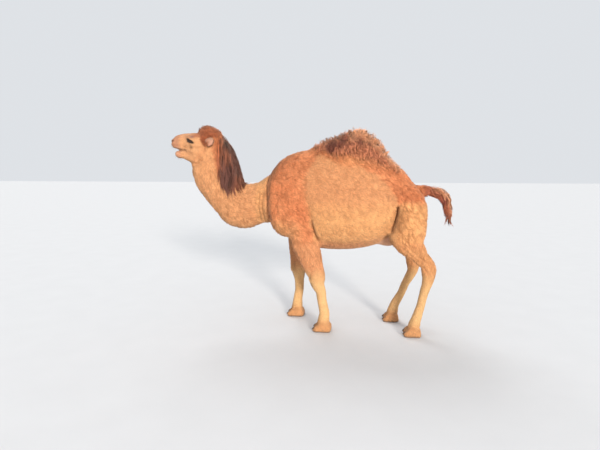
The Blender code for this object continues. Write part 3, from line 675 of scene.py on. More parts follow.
CURL_RELIEF = 0.0055
normals = numbers(skin.vertex_normals, "vector", 3)
relief = sculpt(places) + CURL_RELIEF * curl_share(area, places[:, 2]) * (waves - 0.6)
places = places + relief[:, None] * normals
set_places(skin, places)
print("relief from", relief.min().round(3), "to", relief.max().round(3), "metres")

# %% [markdown]
# ### The lids
# A camel's lids are thick and close over a large ball. In the eye's own axes, a runs from the inner corner
# to the outer one and b up. The opening is an almond, |b| < height * (1 - (a / reach)^2). Skin inside it is
# drawn back behind the ball, and skin round it is laid on the ball as a lid a few millimetres thick. Lids
# made as separate rims would show a seam, so they are the skin itself.

# %% The eye's axes and opening
EYE_OUT = unit(np.array([-0.30, 0.95, 0.05]))
EYE_ACROSS = unit(np.cross(np.cross(EYE_OUT, (0.89, 0.0, -0.45)), EYE_OUT))
EYE_UP = np.cross(EYE_ACROSS, EYE_OUT) * np.sign(np.cross(EYE_ACROSS, EYE_OUT)[2])
LID_REACH, LID_UP, LID_DOWN = 0.0230, 0.0115, 0.0095
LID_THICK = 0.0036


def eye_axes(folded):
    """Places about the eye as across, up and out."""
    from_eye = folded - EYE
    return from_eye @ EYE_ACROSS, from_eye @ EYE_UP, from_eye @ EYE_OUT


def outside_opening(a, b):
    """How far outside the almond a place is, about in metres: |b| less the almond's height at a."""
    height = np.where(b > 0, LID_UP, LID_DOWN) * (1 - (a / LID_REACH) ** 2)
    return (np.abs(b) - height) / np.sqrt(1 + (2 * a * LID_UP / LID_REACH**2) ** 2)


print("opening:", round(2 * LID_REACH, 3), "long and", round(LID_UP + LID_DOWN, 3), "high")

# %% Lids over the eyeballs
side = np.where(places[:, 1:2] < 0, -1, 1) * (0, 1, 0) + (1, 0, 1)
folded = places * side
a, b, out = eye_axes(folded)
ring = np.hypot(a, b)
gap = outside_opening(a, b)
# Drawn in behind the ball inside the opening, a thick rim at its edge, and a fold beyond the lid.
radius = EYE_RADIUS + LID_THICK * fade(gap, -0.001, 0.001) - 0.006 * fade(gap, 0.0005, -0.001)
rim, crease = (np.exp(-(((gap - beyond) / 0.002) ** 2)) for beyond in (0.003, 0.0095))
radius = radius + 0.0012 * rim - 0.0022 * crease
laid = EYE + unit(folded - EYE) * radius[:, None]
share = (fade(ring, 0.033, 0.022) * (out > 0))[:, None]
places = (folded + share * (laid - folded)) * side
set_places(skin, places)
print("vertices at the lids:", int((share[:, 0] > 0.5).sum()))

# %% [markdown]
# ## Lie of the hair
# Hair grows away from the nose, back along the neck, back and down over the trunk, and straight down the
# legs. A rough way is given to each region, and smoothing it over the net turns the borders into easy
# curves. It could be combed by hand, but a few ways and one smoothing are enough for an easy flow.


# %% The lie, laid in the skin
def sideways(points, back, out, down):
    """A way that goes back, out to the nearer side and down."""
    return np.stack([np.full(len(points), back), out * np.sign(points[:, 1]), np.full(len(points), -down)], 1)


def rough_lie(points):
    """A way for each place, before smoothing: the trunk's, and over it each region's own."""
    area = regions(points)
    x, _, z = points.T
    way = np.tile((0.80, 0.0, -0.60), (len(points), 1)) - fade(x, 0.35, 0.60)[:, None] * (0, 0, 0.5)
    way = way + area["crest"][:, None] * sideways(points, -0.45, 0.8, 0.9)
    head_way = np.tile((0.95, 0.0, -0.15), (len(points), 1)) + fade(z, 1.90, 1.98)[:, None] * (0, 0, 0.5)
    return layered(way, [
        (along_line(points, LINES["neck"])[2] + (0, 0, -0.35), area["neck"]),
        (head_way, area["head"]), ((0.06, 0, -1.0), area["leg"]),
        (along_line(points, LINES["tail"])[2], area["tail"]),
        (sideways(points, 0.15, 0.5, 1.0), area["mane"]),
        ((1.0, 0, -0.05), area["belly"] * (1 - area["leg"])),
    ])


def laid_flat(way, normal):
    """The part of a way that lies in the surface, at length 1."""
    return unit(way - dot(way, normal) * normal)


normals = numbers(skin.vertex_normals, "vector", 3)
area = regions(places)
lie = laid_flat(smoothed(rough_lie(places), skin_edges, 25), normals)
print("lie set for", len(lie), "places")

# %% [markdown]
# ## Markings
# Skin and hair carry the same markings, so one formula of place gives them to both: a sandy flank between
# redder shoulders and rump, a dark crest and mane, a pale cheek and pale lower legs. A painted texture would
# need the skin unwrapped first, and the tufts could not read it as easily.

# %% Coat colours
SANDY, LOW_FLANK, HAUNCH, THIGH = linear("#e5a06d"), linear("#efaf75"), linear("#edab72"), linear("#e6a36d")
RED, DEEP, WITHERS, RUMP = linear("#e79564"), linear("#dc7f50"), linear("#de8d5e"), linear("#d48053")
NECK, NECK_BASE, CHEEK, MUZZLE = linear("#e4a472"), linear("#edaf77"), linear("#e8aa77"), linear("#c28866")
FOREHEAD, LIP, CROWN, BROW_SHEEN = linear("#d99f75"), linear("#da9e7a"), linear("#ac5e3b"), linear("#8d6a66")
MANE, MANE_TOP, MANE_EDGE = linear("#664037"), linear("#96583d"), linear("#c26e46")
CREST, CREST_DARK, PEAK = linear("#cb7f5c"), linear("#894c3b"), linear("#eba67a")
FOREARM, CANNON, KNEE, FOOT = linear("#dd9869"), linear("#f4c286"), linear("#d3a679"), linear("#dfa06a")
TAIL, TAIL_END = linear("#b3664a"), linear("#a0634d")
BARE, CALLUS, SOLE = linear("#d39a76"), linear("#a98a70"), linear("#8a6a52")
# The mouth's skin and dark skin, also laid as painted shade in the slits of nostrils and mouth, in the lip's
# cleft and round the eye.
MOUTH_SKIN_AND_SHADE, DARK_SKIN_AND_SHADE = linear("#6b3a33"), linear("#1c0f0c")
# Dark patches in the crest, of darker wool and one of painted shadow: weight, middle in x and z, reach, rise,
# and fall to a metre.
DARK_WOOL_AND_SHADOW = (
    (0.9, -0.12, 1.86, 0.13, 0.09, 0), (1.2, -0.19, 1.83, 0.035, 0.10, 0),
    # A painted shadow in a thin band under the standing peaks.
    (0.9, 0.10, 1.89, 0.15, 0.035, 0.35),
)
# Creases that hold shade: line, width and darkness.
SHADED = ((SHOULDER_CREASE, 0.013, 0.45), (ELBOW_CREASE, 0.012, 0.55), (FLANK_FOLD[:3], 0.011, 0.90))


print("the flank in linear light:", SANDY.round(3))


# %% Marks of trunk and legs
def spot(folded, x, z, reach, rise):
    """A soft oval spot on her side: exp(-((dx / reach)^2 + (dz / rise)^2)), dx and dz from its middle."""
    near = ((folded[:, 0] - x) / reach) ** 2 + ((folded[:, 2] - z) / rise) ** 2
    return np.exp(-near) * fade(folded[:, 1], 0.03, 0.06)


def body_layers(points, area, wandering):
    """Marks of shoulders, flank, rump, neck and legs. wandering is x with a ragged edge."""
    x, _, z = points.T
    side = fold(points)
    nape = area["neck"] * fade(wandering - 0.2 * (1.85 - z), -1.47, -1.39) * fade(z, 1.44, 1.56)
    knee = np.zeros(len(points))
    for limb in LIMBS[:2]:
        front = LINES[limb][6] + (-0.055, 0, 0.01)
        knee = np.maximum(knee, np.exp(-((np.linalg.norm(points - front, axis=1) / 0.05) ** 4)))
    return [
        (WITHERS, fade(z, 1.50, 1.72) * fade(x, 0.45, 0.2)),
        (DEEP, 0.45 * spot(side, -0.49, 1.19, 0.11, 0.12) + 0.25 * spot(side, -0.62, 1.42, 0.10, 0.10)),
        (SANDY, 0.75 * fade(z, 1.17, 1.0) * fade(x, -0.42, -0.52)),
        (RUMP, fade(x, 0.30, 0.48) * fade(z, 1.24, 1.36)), (RED, 0.5 * spot(side, 0.50, 1.48, 0.13, 0.10)),
        # The flank is paler low down: partly its own wool, and partly painted light, as a low light gives.
        (SANDY, area["flank"]), (LOW_FLANK, area["flank"] * fade(z, 1.40, 1.12)), (HAUNCH, area["haunch"]),
        # Painted light on the brisket, which faces down, and in a band under the crest, against the shade of
        # its locks.
        (LOW_FLANK, 0.45 * spot(side, -0.67, 1.04, 0.12, 0.09) + 0.40 * spot(side, 0.0, 1.70, 0.20, 0.05)),
        (SANDY * 0.92, 0.7 * area["belly"]),
        (NECK, area["neck"]), (NECK_BASE, area["neck"] * fade(x, -1.02, -0.92)),
        (MANE_EDGE, 0.8 * nape * fade(x, -1.10, -1.16)),
        (FOREARM, area["leg"] * fade(x, 0.2, 0.1)), (THIGH, area["leg"] * fade(x, 0.1, 0.2)),
        (CANNON, area["leg"] * fade(z + 0.03 * mottle(points, 0.05, 7), 0.68, 0.46)),
        (KNEE, knee), (FOOT, area["leg"] * fade(z, 0.16, 0.06)),
    ]


# %% Marks of the head
def head_layers(points, area, wandering):
    """Marks of cheek, forehead, muzzle and lip, and the crown's wool with its fringe."""
    x, _, z = points.T
    head = area["head"]
    nape = fade(z, 1.84, 1.90) * fade(wandering, -1.47, -1.42) * fade(x, -1.2, -1.3)
    fringe = head * fade(wandering - 0.5 * (z - 1.97), -1.70, -1.63) * fade(z, 1.930, 1.965)
    return [
        (CHEEK, head), (FOREHEAD, head * fade(z, 1.93, 1.97)), (MUZZLE, head * fade(x, -1.78, -1.84)),
        (LIP, head * fade(x, -1.80, -1.84) * fade(z, 1.862, 1.845)), (MANE_EDGE, 0.8 * head * nape),
        (CROWN, 0.6 * head * spot(fold(points), -1.525, 1.90, 0.030, 0.045)), (CROWN, 0.70 * fringe),
        (CROWN, area["crown"]),
    ]


# %% Marks of mane, crest and tail
def wool_layers(points, area, wandering):
    """Marks of mane, crest and tail. The crest's peaks are paler. Painted light lies along the ridge of crest
    and crown, where light would shine through the standing wool, and on the tail's upper, rear side, where
    the light falls."""
    x, y, z = points.T
    mane, crest, tail = area["mane"], area["crest"], area["tail"]
    behind = wandering - np.interp(z, *MANE_FRONT.T)
    over_edge = above(x, z, CREST_EDGE) + 0.03 * mottle(points, 0.05, 10)
    dark = 0.7 * mottle(points, 0.07, 11) + 0.5 * mottle(points, 0.026, 12) - 0.4 * fade(x, 0.15, 0.35)
    for weight, at_x, at_z, reach, rise, fall in DARK_WOOL_AND_SHADOW:
        below = z - at_z + fall * (x - at_x)
        dark = dark + weight * np.exp(-(((x - at_x) / reach) ** 2) - (below / rise) ** 2)
    peak = crest * fade(np.abs(y) + 0.02 * mottle(points, 0.03, 13), 0.115, 0.06)
    # Painted light along the ridge of crest and crown.
    ridge_light = np.maximum(crest, area["crown"]) * fade(np.abs(y), 0.075, 0.02)
    outer = (along_line(points, LINES["tail"])[3] * (0.7, 0, 0.7)).sum(1)
    return [
        (MANE_EDGE, mane), (MANE_TOP, mane * fade(behind, -0.070, -0.035)),
        (MANE, mane * fade(behind, -0.040, 0.010) * fade(z + 0.03 * mottle(points, 0.05, 16), 1.99, 1.89)),
        (MANE_TOP, 0.6 * mane * fade(x, -1.25, -1.17) * fade(z, 1.64, 1.55)),
        (MANE_TOP, 0.8 * mane * spot(fold(points), -1.27, 1.82, 0.06, 0.08)),
        (CREST, crest * fade(over_edge, -0.02, 0.11 - 0.09 * fade(x, -0.16, -0.28))),
        (CREST_DARK, crest * fade(dark, 0.15, 0.85) * fade(over_edge, 0.0, 0.08)),
        # Paler wool on the crest's peaks, then painted light along the ridge.
        (PEAK, 0.9 * peak * fade(x, -0.08, 0.03)), (PEAK, (0.45 - 0.25 * area["crown"]) * ridge_light),
        (TAIL, fade(x, 0.68, 0.76) * fade(z, 1.30, 1.36) + tail * (z < 1.36)),
        (TAIL_END, tail * fade(z, 1.26, 1.16)),
        # Painted light on the tail's upper, rear side.
        (PEAK, (0.35 + 0.50 * fade(x, 0.79, 0.85)) * tail * fade(outer, 0.0, 0.022)), (BARE, area["udder"]),
    ]


# %% Shade and bare places
def tone_and_painted_shade(points, area):
    """The hair's own tone in broad patches and a fine grain, times painted shade: dark furrows between its
    waves, where its darker roots show too, and dark creases."""
    shade = 1 + 0.03 * mottle(points, 0.20, 21) + 0.04 * mottle(points, 0.06, 22)
    shade = shade + 0.09 * mottle(points, 0.016, 23)
    # Painted shade in the furrows between the waves, where darker roots also show.
    furrows = 0.50 * (wool_waves(points) - 0.70) + 0.10 * mottle(points, 0.028, 24)
    shade = shade * (1 + curl_share(area, points[:, 2]) * furrows)
    # Painted shade in the creases, half as dark on her right side.
    share = np.where(points[:, 1] < 0, 1.0, 0.5)
    for line, width, dark in SHADED:
        shade = shade * (1 - side_press(fold(points), line, width, dark) * share)
    return shade


def bare_layers(points, area):
    """Marks of bare places: horny pads, soles, a painted grey sheen over the eye, dark lids with painted
    shade round them, darker skin round nostrils and mouth, and painted shade in the slits of nostrils and
    mouth and in the cleft of the lip.
    """
    side = fold(points)
    a, b, out = eye_axes(side)
    # The dark band round the eye: dark skin on the lids, and beyond it painted shade under the lashes.
    rim = fade(np.hypot((a - 0.004) / 0.052, (b - 0.001) / 0.0175), 1.12, 0.86) * (out > -0.02)
    return [
        (CALLUS * (1 + 0.15 * mottle(points, 0.008, 25)[:, None]), 0.85 * area["callus"]),
        # A painted grey sheen over the eye, where the long lashes catch the light.
        (SOLE, fade(points[:, 2], 0.022, 0.010)), (BROW_SHEEN, 0.75 * spot(side, -1.655, 1.955, 0.024, 0.013)),
        (DARK_SKIN_AND_SHADE, 0.55 * spot(side, -1.661, 1.850, 0.015, 0.016)),
        (DARK_SKIN_AND_SHADE, 0.35 * spot(side, -1.668, 1.876, 0.012, 0.018)), (DARK_SKIN_AND_SHADE, 0.96 * rim),
        # Darker skin round nostrils and mouth, and painted shade in the slits of nostrils and mouth and in
        # the cleft of the lip.
        (MOUTH_SKIN_AND_SHADE, 0.5 * press(side, NOSTRIL, 0.013, 1.0) + 0.35 * press(side, MOUTH, 0.014, 1.0)),
        (DARK_SKIN_AND_SHADE, press(side, NOSTRIL, 0.0080, 1.0) ** 0.7),
        (MOUTH_SKIN_AND_SHADE * 0.35, press(side, MOUTH, 0.0065, 1.0)),
        (MOUTH_SKIN_AND_SHADE, 0.8 * press(side, LIP_CLEFT, 0.0042, 1.0)),
    ]


# %% Colour of any place
def markings(points):
    """The coat's colour at each place about the trunk's middle: the layers of marks, the hair's tone with its
    painted shade, and the bare places. Where little light gets in, it comes back redder from the hair round
    about, so the painted shade is redder too."""
    area = regions(points)
    wandering = points[:, 0] + 0.02 * mottle(points, 0.05, 14) + 0.01 * mottle(points, 0.02, 15)
    colour = np.tile(RED, (len(points), 1))
    for layers in (body_layers, head_layers, wool_layers):
        colour = layered(colour, layers(points, area, wandering))
    colour = colour * np.maximum(tone_and_painted_shade(points, area), 0.05)[:, None] ** (0.80, 1.0, 1.12)
    return np.clip(layered(colour, bare_layers(points, area)), 0.004, 1)


coat_colour = markings(places)
print("mean coat colour", coat_colour.mean(0).round(3))

# %% [markdown]
# ### Skin material
# Under the coat the skin is matt and covered by short felted underwool. Its colour is the marking of the
# place. The fine hair that lies flat is too small for a mesh, so it is bump: noise stretched along the lie,
# about 2 mm across the hair and 12 mm along it.

# %% Underwool
# Light that grazes wool comes back in the wool's own warm colour, so the sheen is tinted.
WARM_SHEEN = (1.0, 0.80, 0.62, 1)
wool_skin, wool_shader = finish_of(
    "felted_underwool", Roughness=0.9, Sheen_Weight=0.25, Sheen_Roughness=0.6, Sheen_Tint=WARM_SHEEN
)
wool_colour = add_node(wool_skin, "ShaderNodeAttribute", {"attribute_name": "coat"})
wool_place = add_node(wool_skin, "ShaderNodeTexCoord")
wool_stretch = add_node(
    wool_skin, "ShaderNodeMapping",
    inputs={"Vector": wool_place.outputs["Object"], "Scale": (0.35, 1.0, 0.55)},
)
wool_hair = add_node(
    wool_skin, "ShaderNodeTexNoise", inputs={"Vector": wool_stretch.outputs[0], "Scale": 220.0, "Detail": 3.0}
)
wool_bump = add_node(
    wool_skin, "ShaderNodeBump",
    inputs={"Height": wool_hair.outputs["Fac"], "Strength": 0.5, "Distance": 0.003},
)
wool_shade = add_node(
    wool_skin, "ShaderNodeMapRange",
    inputs={
        "Value": wool_hair.outputs["Fac"], "From Min": 0.3, "From Max": 0.7, "To Min": 0.72, "To Max": 1.08,
    },
)
wool_tone = add_node(
    wool_skin, "ShaderNodeVectorMath", {"operation": "SCALE"},
    {"Vector": wool_colour.outputs["Color"], "Scale": wool_shade.outputs[0]},
)
join_to(wool_skin, wool_tone.outputs[0], wool_shader.inputs["Base Color"])
join_to(wool_skin, wool_bump.outputs[0], wool_shader.inputs["Normal"])
print(wool_skin.name, "has", len(wool_skin.node_tree.nodes), "nodes")

# %% Thin the net and show the skin
SKIN_TRIANGLES = 185000


def thinned(mesh, triangles):
    """Collapses the edges that shape the surface least, down to a number of triangles."""
    mesh.calc_loop_triangles()
    return with_modifier(mesh, "DECIMATE", ratio=triangles / len(mesh.loop_triangles))


skin_shown = thinned(skin, SKIN_TRIANGLES)
shown_places = places_of(skin_shown)
# Under the coat the skin is a little darker than the tufts, and less so where it shows bare.
bare_share = np.clip(sum(regions(shown_places)[part] for part in ("head", "udder", "callus")), 0, 1)
paint(skin_shown, "coat", markings(shown_places) * (0.80 + 0.14 * bare_share[:, None]))
skin_shown.shade_smooth()
piece("skin", skin_shown, wool_skin, covered)

# %% [markdown]
# ## Tufts
# A real coat has millions of hairs, which hold together in small tapered tufts. Hair curves could draw
# single hairs, but they aren't a mesh, and a tuft is one: it can be counted, coloured and exported. A short
# tuft is the least closed body there is: a root, a left and a right point over the middle, and a tip,
# joined by four faces. A long lock is a strand: a root, rings of three points round its path, and a tip.
# The normals of both lean towards the skin's, which softens the light on them as a mass of fine hair does.


# %% Short tufts
# A tuft's size on the unwrapped skin, whose sides are 1, and the room that is kept for it at the far sides.
TUFT_PATCH, TUFT_ROOM = 0.003, 0.004
# How far the normals of a short tuft, a long lock and a stiff hair lean from their own to the skin's.
SHORT_SOFT, LONG_SOFT, STIFF_SOFT = 0.60, 0.35, 0.30


def short_tufts(name, root, middle, tip, half, across, up, root_colour, tip_colour, wrap):
    """Four-faced tufts. The middle's two points lie half a width to each side of it. The two upper faces
    meet in the line between them, and the two lower ones in the line from root to tip. wrap is each root's
    place on the unwrapped skin."""
    count = len(root)
    points = np.stack([root, middle + across * half, middle - across * half, tip], 1)
    faces = np.array([(0, 2, 1), (3, 1, 2), (0, 1, 3), (0, 3, 2)])
    faces = (faces[None] + 4 * np.arange(count)[:, None, None]).reshape(-1, 3)
    mesh = mesh_from(name, points.reshape(-1, 3), faces)
    middle_colour = (root_colour + 2 * tip_colour) / 3
    colour = np.stack([root_colour, middle_colour, middle_colour, tip_colour], 1)
    patch = TUFT_PATCH * np.array([(0, 0.5), (0.5, 0), (0.5, 1), (1, 0.5)])
    own = np.stack([up, up + 0.9 * across, up - 0.9 * across, up + 0.8 * unit(tip - middle)], 1)
    dress(mesh, colour, wrap, patch, unit(own), up, SHORT_SOFT)
    return mesh


# %% Colour, bake map and normals of tufts
def dress(mesh, colour, wrap, patch, own, up, softness):
    """Gives a mesh of tufts its colours, its bake map, and normals that lean from the tuft's own, at
    softness 0, to the skin's, at 1."""
    paint(mesh, "coat", colour.reshape(-1, 3))
    uv = (wrap[:, None] * (1 - TUFT_ROOM) + patch[None]).reshape(-1, 2)
    corner = numbers(mesh.loops, "vertex_index", 1, np.int32)
    mesh.uv_layers.new(name="OFBake").data.foreach_set("uv", uv[corner].astype(np.float32).ravel())
    soft = unit(own * (1 - softness) + up[:, None] * softness).astype(np.float32)
    mesh.attributes.new("custom_normal", "FLOAT_VECTOR", "POINT").data.foreach_set("vector", soft.ravel())


# %% Strands from paths
def strand_faces(rings):
    """Triangles of one strand: a fan at the root, walls between rings and a fan at the tip. Point 0 is the
    root, ring k has points 1 + 3k to 3 + 3k, and the last point is the tip."""
    tip = 1 + 3 * rings
    faces = [(0, 1 + k, 1 + (k + 1) % 3) for k in range(3)]
    for row in range(rings - 1):
        low, high = 1 + 3 * row, 4 + 3 * row
        for k in range(3):
            n = (k + 1) % 3
            faces += [(low + n, low + k, high + k), (low + n, high + k, high + n)]
    last = tip - 3
    return np.array(faces + [(last + (k + 1) % 3, last + k, tip) for k in range(3)])


print("a strand with five rings has", len(strand_faces(5)), "faces")


def strands(name, paths, widths, ups, root_colour, tip_colour, wrap, softness):
    """Closed strands along paths, an array of strands by steps by three. A ring's points lie at plus and
    minus its half width across the path, and 0.6 of it up. ups is the skin's normal for each strand."""
    count, steps = paths.shape[:2]
    rings = steps - 2
    middle = paths[:, 1:-1]
    way = unit(paths[:, 2:] - paths[:, :-2])
    up = np.repeat(ups[:, None], rings, 1)
    across = unit(np.cross(way, up))
    lift = np.cross(across, way)
    half = widths[:, :, None]
    ring = np.stack([middle + across * half, middle + lift * half * 0.6, middle - across * half], 2)
    points = np.concatenate([paths[:, :1], ring.reshape(count, -1, 3), paths[:, -1:]], 1)
    faces = strand_faces(rings)[None] + (np.arange(count) * points.shape[1])[:, None, None]
    mesh = mesh_from(name, points.reshape(-1, 3), faces.reshape(-1, 3))
    # Colour and bake map run from root to tip.
    t = np.concatenate([[0], np.repeat(np.arange(1, rings + 1) / (rings + 1), 3), [1]])
    s = np.concatenate([[0.5], np.tile((0.0, 0.5, 1.0), rings), [0.5]])
    colour = root_colour[:, None] + t[None, :, None] * (tip_colour - root_colour)[:, None]
    own = np.stack([across, lift, -across], 2).reshape(count, -1, 3)
    own = np.concatenate([ups[:, None], own, way[:, -1:]], 1)
    dress(mesh, colour, wrap, TUFT_PATCH * np.stack([t, s], 1), own, ups, softness)
    return mesh


# %% Places on the unwrapped skin
def wrap_of(points, line):
    """A place on the unwrapped skin from 0 to 1 each way: how far along its middle line, and the angle
    round it."""
    _, place, way, offset = along_line(points, line)
    across = unit(np.cross(way, (0, 1, 0)))
    turn = np.arctan2(offset[:, 1], (offset * across).sum(1)) / (2 * math.pi) + 0.5
    return np.stack([place, turn], 1)


print("the eye's place on the unwrapped head:", wrap_of(EYE[None], LINES["head"])[0].round(2))


# %% Where tufts stand
def roots(density, mask):
    """Chooses places on the skin's net, so that there are density tufts to a square metre: each vertex owns
    a third of its faces' area, and gets a whole number of tufts by chance. A root is moved a little in the
    surface, so that no rows show."""
    count = np.floor(density * own_area * mask + chance.random(len(places))).astype(int)
    index = np.repeat(np.arange(len(places)), count * mask)
    spread = np.sqrt(own_area[index])[:, None]
    turn = chance.uniform(-0.6, 0.6, (len(index), 2))
    aside = np.cross(normals[index], lie[index])
    return index, places[index] + spread * (turn[:, :1] * lie[index] + turn[:, 1:] * aside)


skin.calc_loop_triangles()
triangles = numbers(skin.loop_triangles, "vertices", 3, np.int32)
triangle_area = numbers(skin.loop_triangles, "area", 1)
own_area = sum(np.bincount(triangles[:, k], triangle_area, len(places)) for k in range(3)) / 3
print("skin area", own_area.sum().round(2), "square metres")

# %% [markdown]
# ### Hair material
# Camel hair is dull and scaly, and a mass of it glows softly where light grazes it. High roughness with
# little mirror light keeps it dull, and sheen gives the glow. A hair shader would follow each fibre, but a
# tuft stands for many fibres at once. The colour is each tuft's own.

# %% Camel hair
hair, hair_shader = finish_of(
    "camel_hair", Roughness=0.82, Specular_IOR_Level=0.2,
    Sheen_Weight=0.25, Sheen_Roughness=0.5, Sheen_Tint=WARM_SHEEN,
)
hair_colour = add_node(hair, "ShaderNodeAttribute", {"attribute_name": "coat"})
join_to(hair, hair_colour.outputs["Color"], hair_shader.inputs["Base Color"])
print(hair.name, "has", len(hair.node_tree.nodes), "nodes")


# %% [markdown]
# ### The short coat
# Length, width, curl and lift change with the region. The flank lies fine and flat, the shoulders, withers
# and rump are curly, and face and legs are short and smooth. Tufts lean towards the middles of the curls
# and part between them, which is what makes the curl show from afar.

# %% Length, width and number of short tufts
def coat_style(area, points):
    """Length, half width and tufts to a square metre at each place: the body's, then the legs' and the
    head's."""
    x, _, z = points.T
    flank, belly = area["flank"], area["belly"]
    low, face = fade(z, 0.80, 0.50), fade(x, -1.62, -1.75)
    body = (0.030 - 0.005 * flank, 0.00132 - 0.00014 * flank, 29700 - 6300 * flank - 8000 * belly)
    legs = (0.024 - 0.012 * low - 0.004 * fade(z, 0.15, 0.05), 0.0012 - 0.0005 * low, 38000 + 30000 * low)
    head = (0.0125 - 0.0070 * face, 0.00085 - 0.0003 * face, 85000 + 55000 * face)
    on_body = [towards(base, own, area["leg"]) for base, own in zip(body, legs)]
    length, width, density = (towards(base, own, area["head"]) for base, own in zip(on_body, head))
    return length, width, density * (1 - 0.97 * area["callus"])


coat_length, coat_half, coat_density = coat_style(area, places)
print("short tufts are", coat_length.min().round(4), "to", coat_length.max().round(4), "long")


# %% One stretch of short coat
def short_coat(name, mask, line):
    """A tuft leaves its root along the lie and rises to about the coat's depth. Where the hair waves, it
    swings sideways with its neighbours, and its tip leans towards theirs, so that tufts close up to
    locks."""
    index, root = roots(coat_density, mask)
    count = (len(index), 1)
    n, d = normals[index], lie[index]
    across = np.cross(n, d)
    curly = curl_now[index][:, None]
    gather, number = clump(root, 0.017, 40)
    lean = 0.017 * (gather - dot(gather, n) * n) * curly
    long = coat_length[index][:, None] * chance.uniform(0.7, 1.3, count)
    deep = depth_now[index][:, None] * chance.uniform(0.6, 1.1, count) * (0.60 + 0.55 * waves[index][:, None])
    wave = 0.9 * curly * mottle(root, 0.040, 41)[:, None] + 0.35 * curly * (number[:, None] - 0.5)
    wave = wave + chance.normal(0, 0.16, count)
    middle = root + long * (0.46 * d + 0.18 * wave * across) + 0.15 * lean + n * deep * 0.80
    tip = root + long * (0.95 * d + 0.60 * wave * across) + 0.50 * lean + n * deep
    tone = (1 + chance.normal(0, 0.09, count)) * (1 + 0.10 * curly * (number[:, None] - 0.5))
    colour = coat_colour[index] * tone
    start = root - n * 0.002 - d * long * 0.05
    for spots in (start, middle, tip):
        spots[:, 2] = np.maximum(spots[:, 2], 0.002)
    mesh = short_tufts(
        name, start + MIDDLE, middle + MIDDLE, tip + MIDDLE, coat_half[index][:, None], across, n,
        colour * (0.86 - 0.08 * curly), colour * 1.03, wrap_of(root, line),
    )
    piece(name, mesh, hair)


# %% Lay the short coat
depth_now = coat_depth(places)
curl_now = curl_share(area, places[:, 2])
x, y, z = places.T
folded = fold(places)
a, b, out = eye_axes(folded)
at_lid = (np.hypot(a, b) < 0.032) & (out > 0) & (outside_opening(a, b) < 0.0055)
at_lips = sum(press(folded, line, 0.0070, 1.0) for line in (NOSTRIL, MOUTH, LIP_CLEFT[:2])) > 0.35
long_hair = np.max([area[part] for part in ("mane", "crest", "crown", "tail")], axis=0) > 0.6
short = ~long_hair & ~at_lid & ~at_lips & (z > 0.014) & (area["udder"] < 0.6)
on_head = area["head"] > 0.5
on_leg = (z < 0.80) & (np.abs(y) > 0.10)
short_coat("coat_head", short & on_head, LINES["head"])
short_coat("coat_neck", short & ~on_head & (x < -0.84), LINES["neck"])
trunk = short & ~on_head & (x >= -0.84) & ~on_leg
short_coat("coat_shoulders", trunk & (x < -0.30), LINES["trunk"])
short_coat("coat_barrel", trunk & (x >= -0.30) & (x < 0.28), LINES["trunk"])
short_coat("coat_rump", trunk & (x >= 0.28), LINES["trunk"])
for limb in LIMBS:
    ahead = limb.startswith("foreleg")
    left = limb.endswith("left")
    short_coat(f"coat_{limb}", short & on_leg & ((x < 0.1) == ahead) & ((y < 0) == left), LINES[limb])

# %% [markdown]
# ## Long hair
# Long locks hang and lie over the form. Simulated hair would drape by itself, but its ends could not be
# set, so each lock is combed over the skin: from its root it takes equal steps, and after each step it is
# set back at its own height over the nearest skin. A lattice whose cells know a near vertex makes that
# quick: cells that hold a vertex pass it on to their empty neighbours, a cell further in each round.


# %% The nearest skin
CELL, MARGIN, ROUNDS = 0.010, 0.12, 9
lattice_low = places.min(0) - MARGIN
lattice_size = np.ceil((places.max(0) + MARGIN - lattice_low) / CELL).astype(int)
lattice = np.full(tuple(lattice_size), -1, np.int32)
cell = ((places - lattice_low) / CELL).astype(int)
lattice[tuple(cell.T)] = np.arange(len(places))
for _, axis, step in np.ndindex(ROUNDS, 3, 2):
    lattice = np.where(lattice < 0, np.roll(lattice, 1 - 2 * step, axis), lattice)
print("lattice cells", tuple(lattice_size), "known:", round(float((lattice >= 0).mean()), 3))


def nearest(points):
    """The index of a skin vertex near each point."""
    cell = np.clip(((points - lattice_low) / CELL).astype(int), 0, lattice_size - 1)
    return lattice[tuple(cell.T)]


# %% Combing
def comb(index, root, steps, length, pull, height, curl, seed):
    """Paths of locks. At step k of a lock its way is the lie plus its pull, with curl from noise, laid in
    the surface, and its height over the skin is height times the sine of pi / 2 times the square root of k
    / (steps - 1)."""
    at = root.copy()
    near = index
    path = [root - normals[index] * 0.004]
    stride = (length / (steps - 1))[:, None]
    for k in range(1, steps):
        n = normals[near]
        wander = np.stack([mottle(at, 0.045, seed + j) for j in range(3)], 1) * curl
        way = laid_flat(lie[near] * 0.6 + pull + wander, n)
        at = at + way * stride
        near = nearest(at)
        n = normals[near]
        over = ((at - places[near]) * n).sum(1)
        wanted = height * np.sin(math.pi / 2 * math.sqrt(k / (steps - 1)))
        at = at + n * np.clip(wanted - over, -0.03, 0.03)[:, None]
        path.append(at)
    return np.stack(path, 1)


def taper(rings, half):
    """Half widths along a lock: from 0.6 of the full one at the root up to all of it at the fattest part,
    and down to 0.35 of it at the tip."""
    fattest = 0.45
    t = np.arange(1, rings + 1) / (rings + 1)
    shape = np.where(t < fattest, 0.6 + 0.4 * t / fattest, 1 - 0.65 * (t - fattest) / (1 - fattest))
    return half[:, None] * shape[None]


print("a lock of five rings, in shares of its width:", taper(5, np.ones(1))[0].round(2))

# %% [markdown]
# ### Mane, crest, crown and tail
# The mane grows from the nape and hangs over both sides of the neck to a ragged hem. The crest is a thick
# felted wool that falls to both sides of the hump, and stands up in lighter peaks along its back. The crown
# wears a short woolly cap, the tail ends in a tassel, and a little feather hangs over each front knee. Each
# is longest in its middle and thins out into the short coat at its edge. Whole clumps differ in tone, since
# wool that is felted together weathers together.


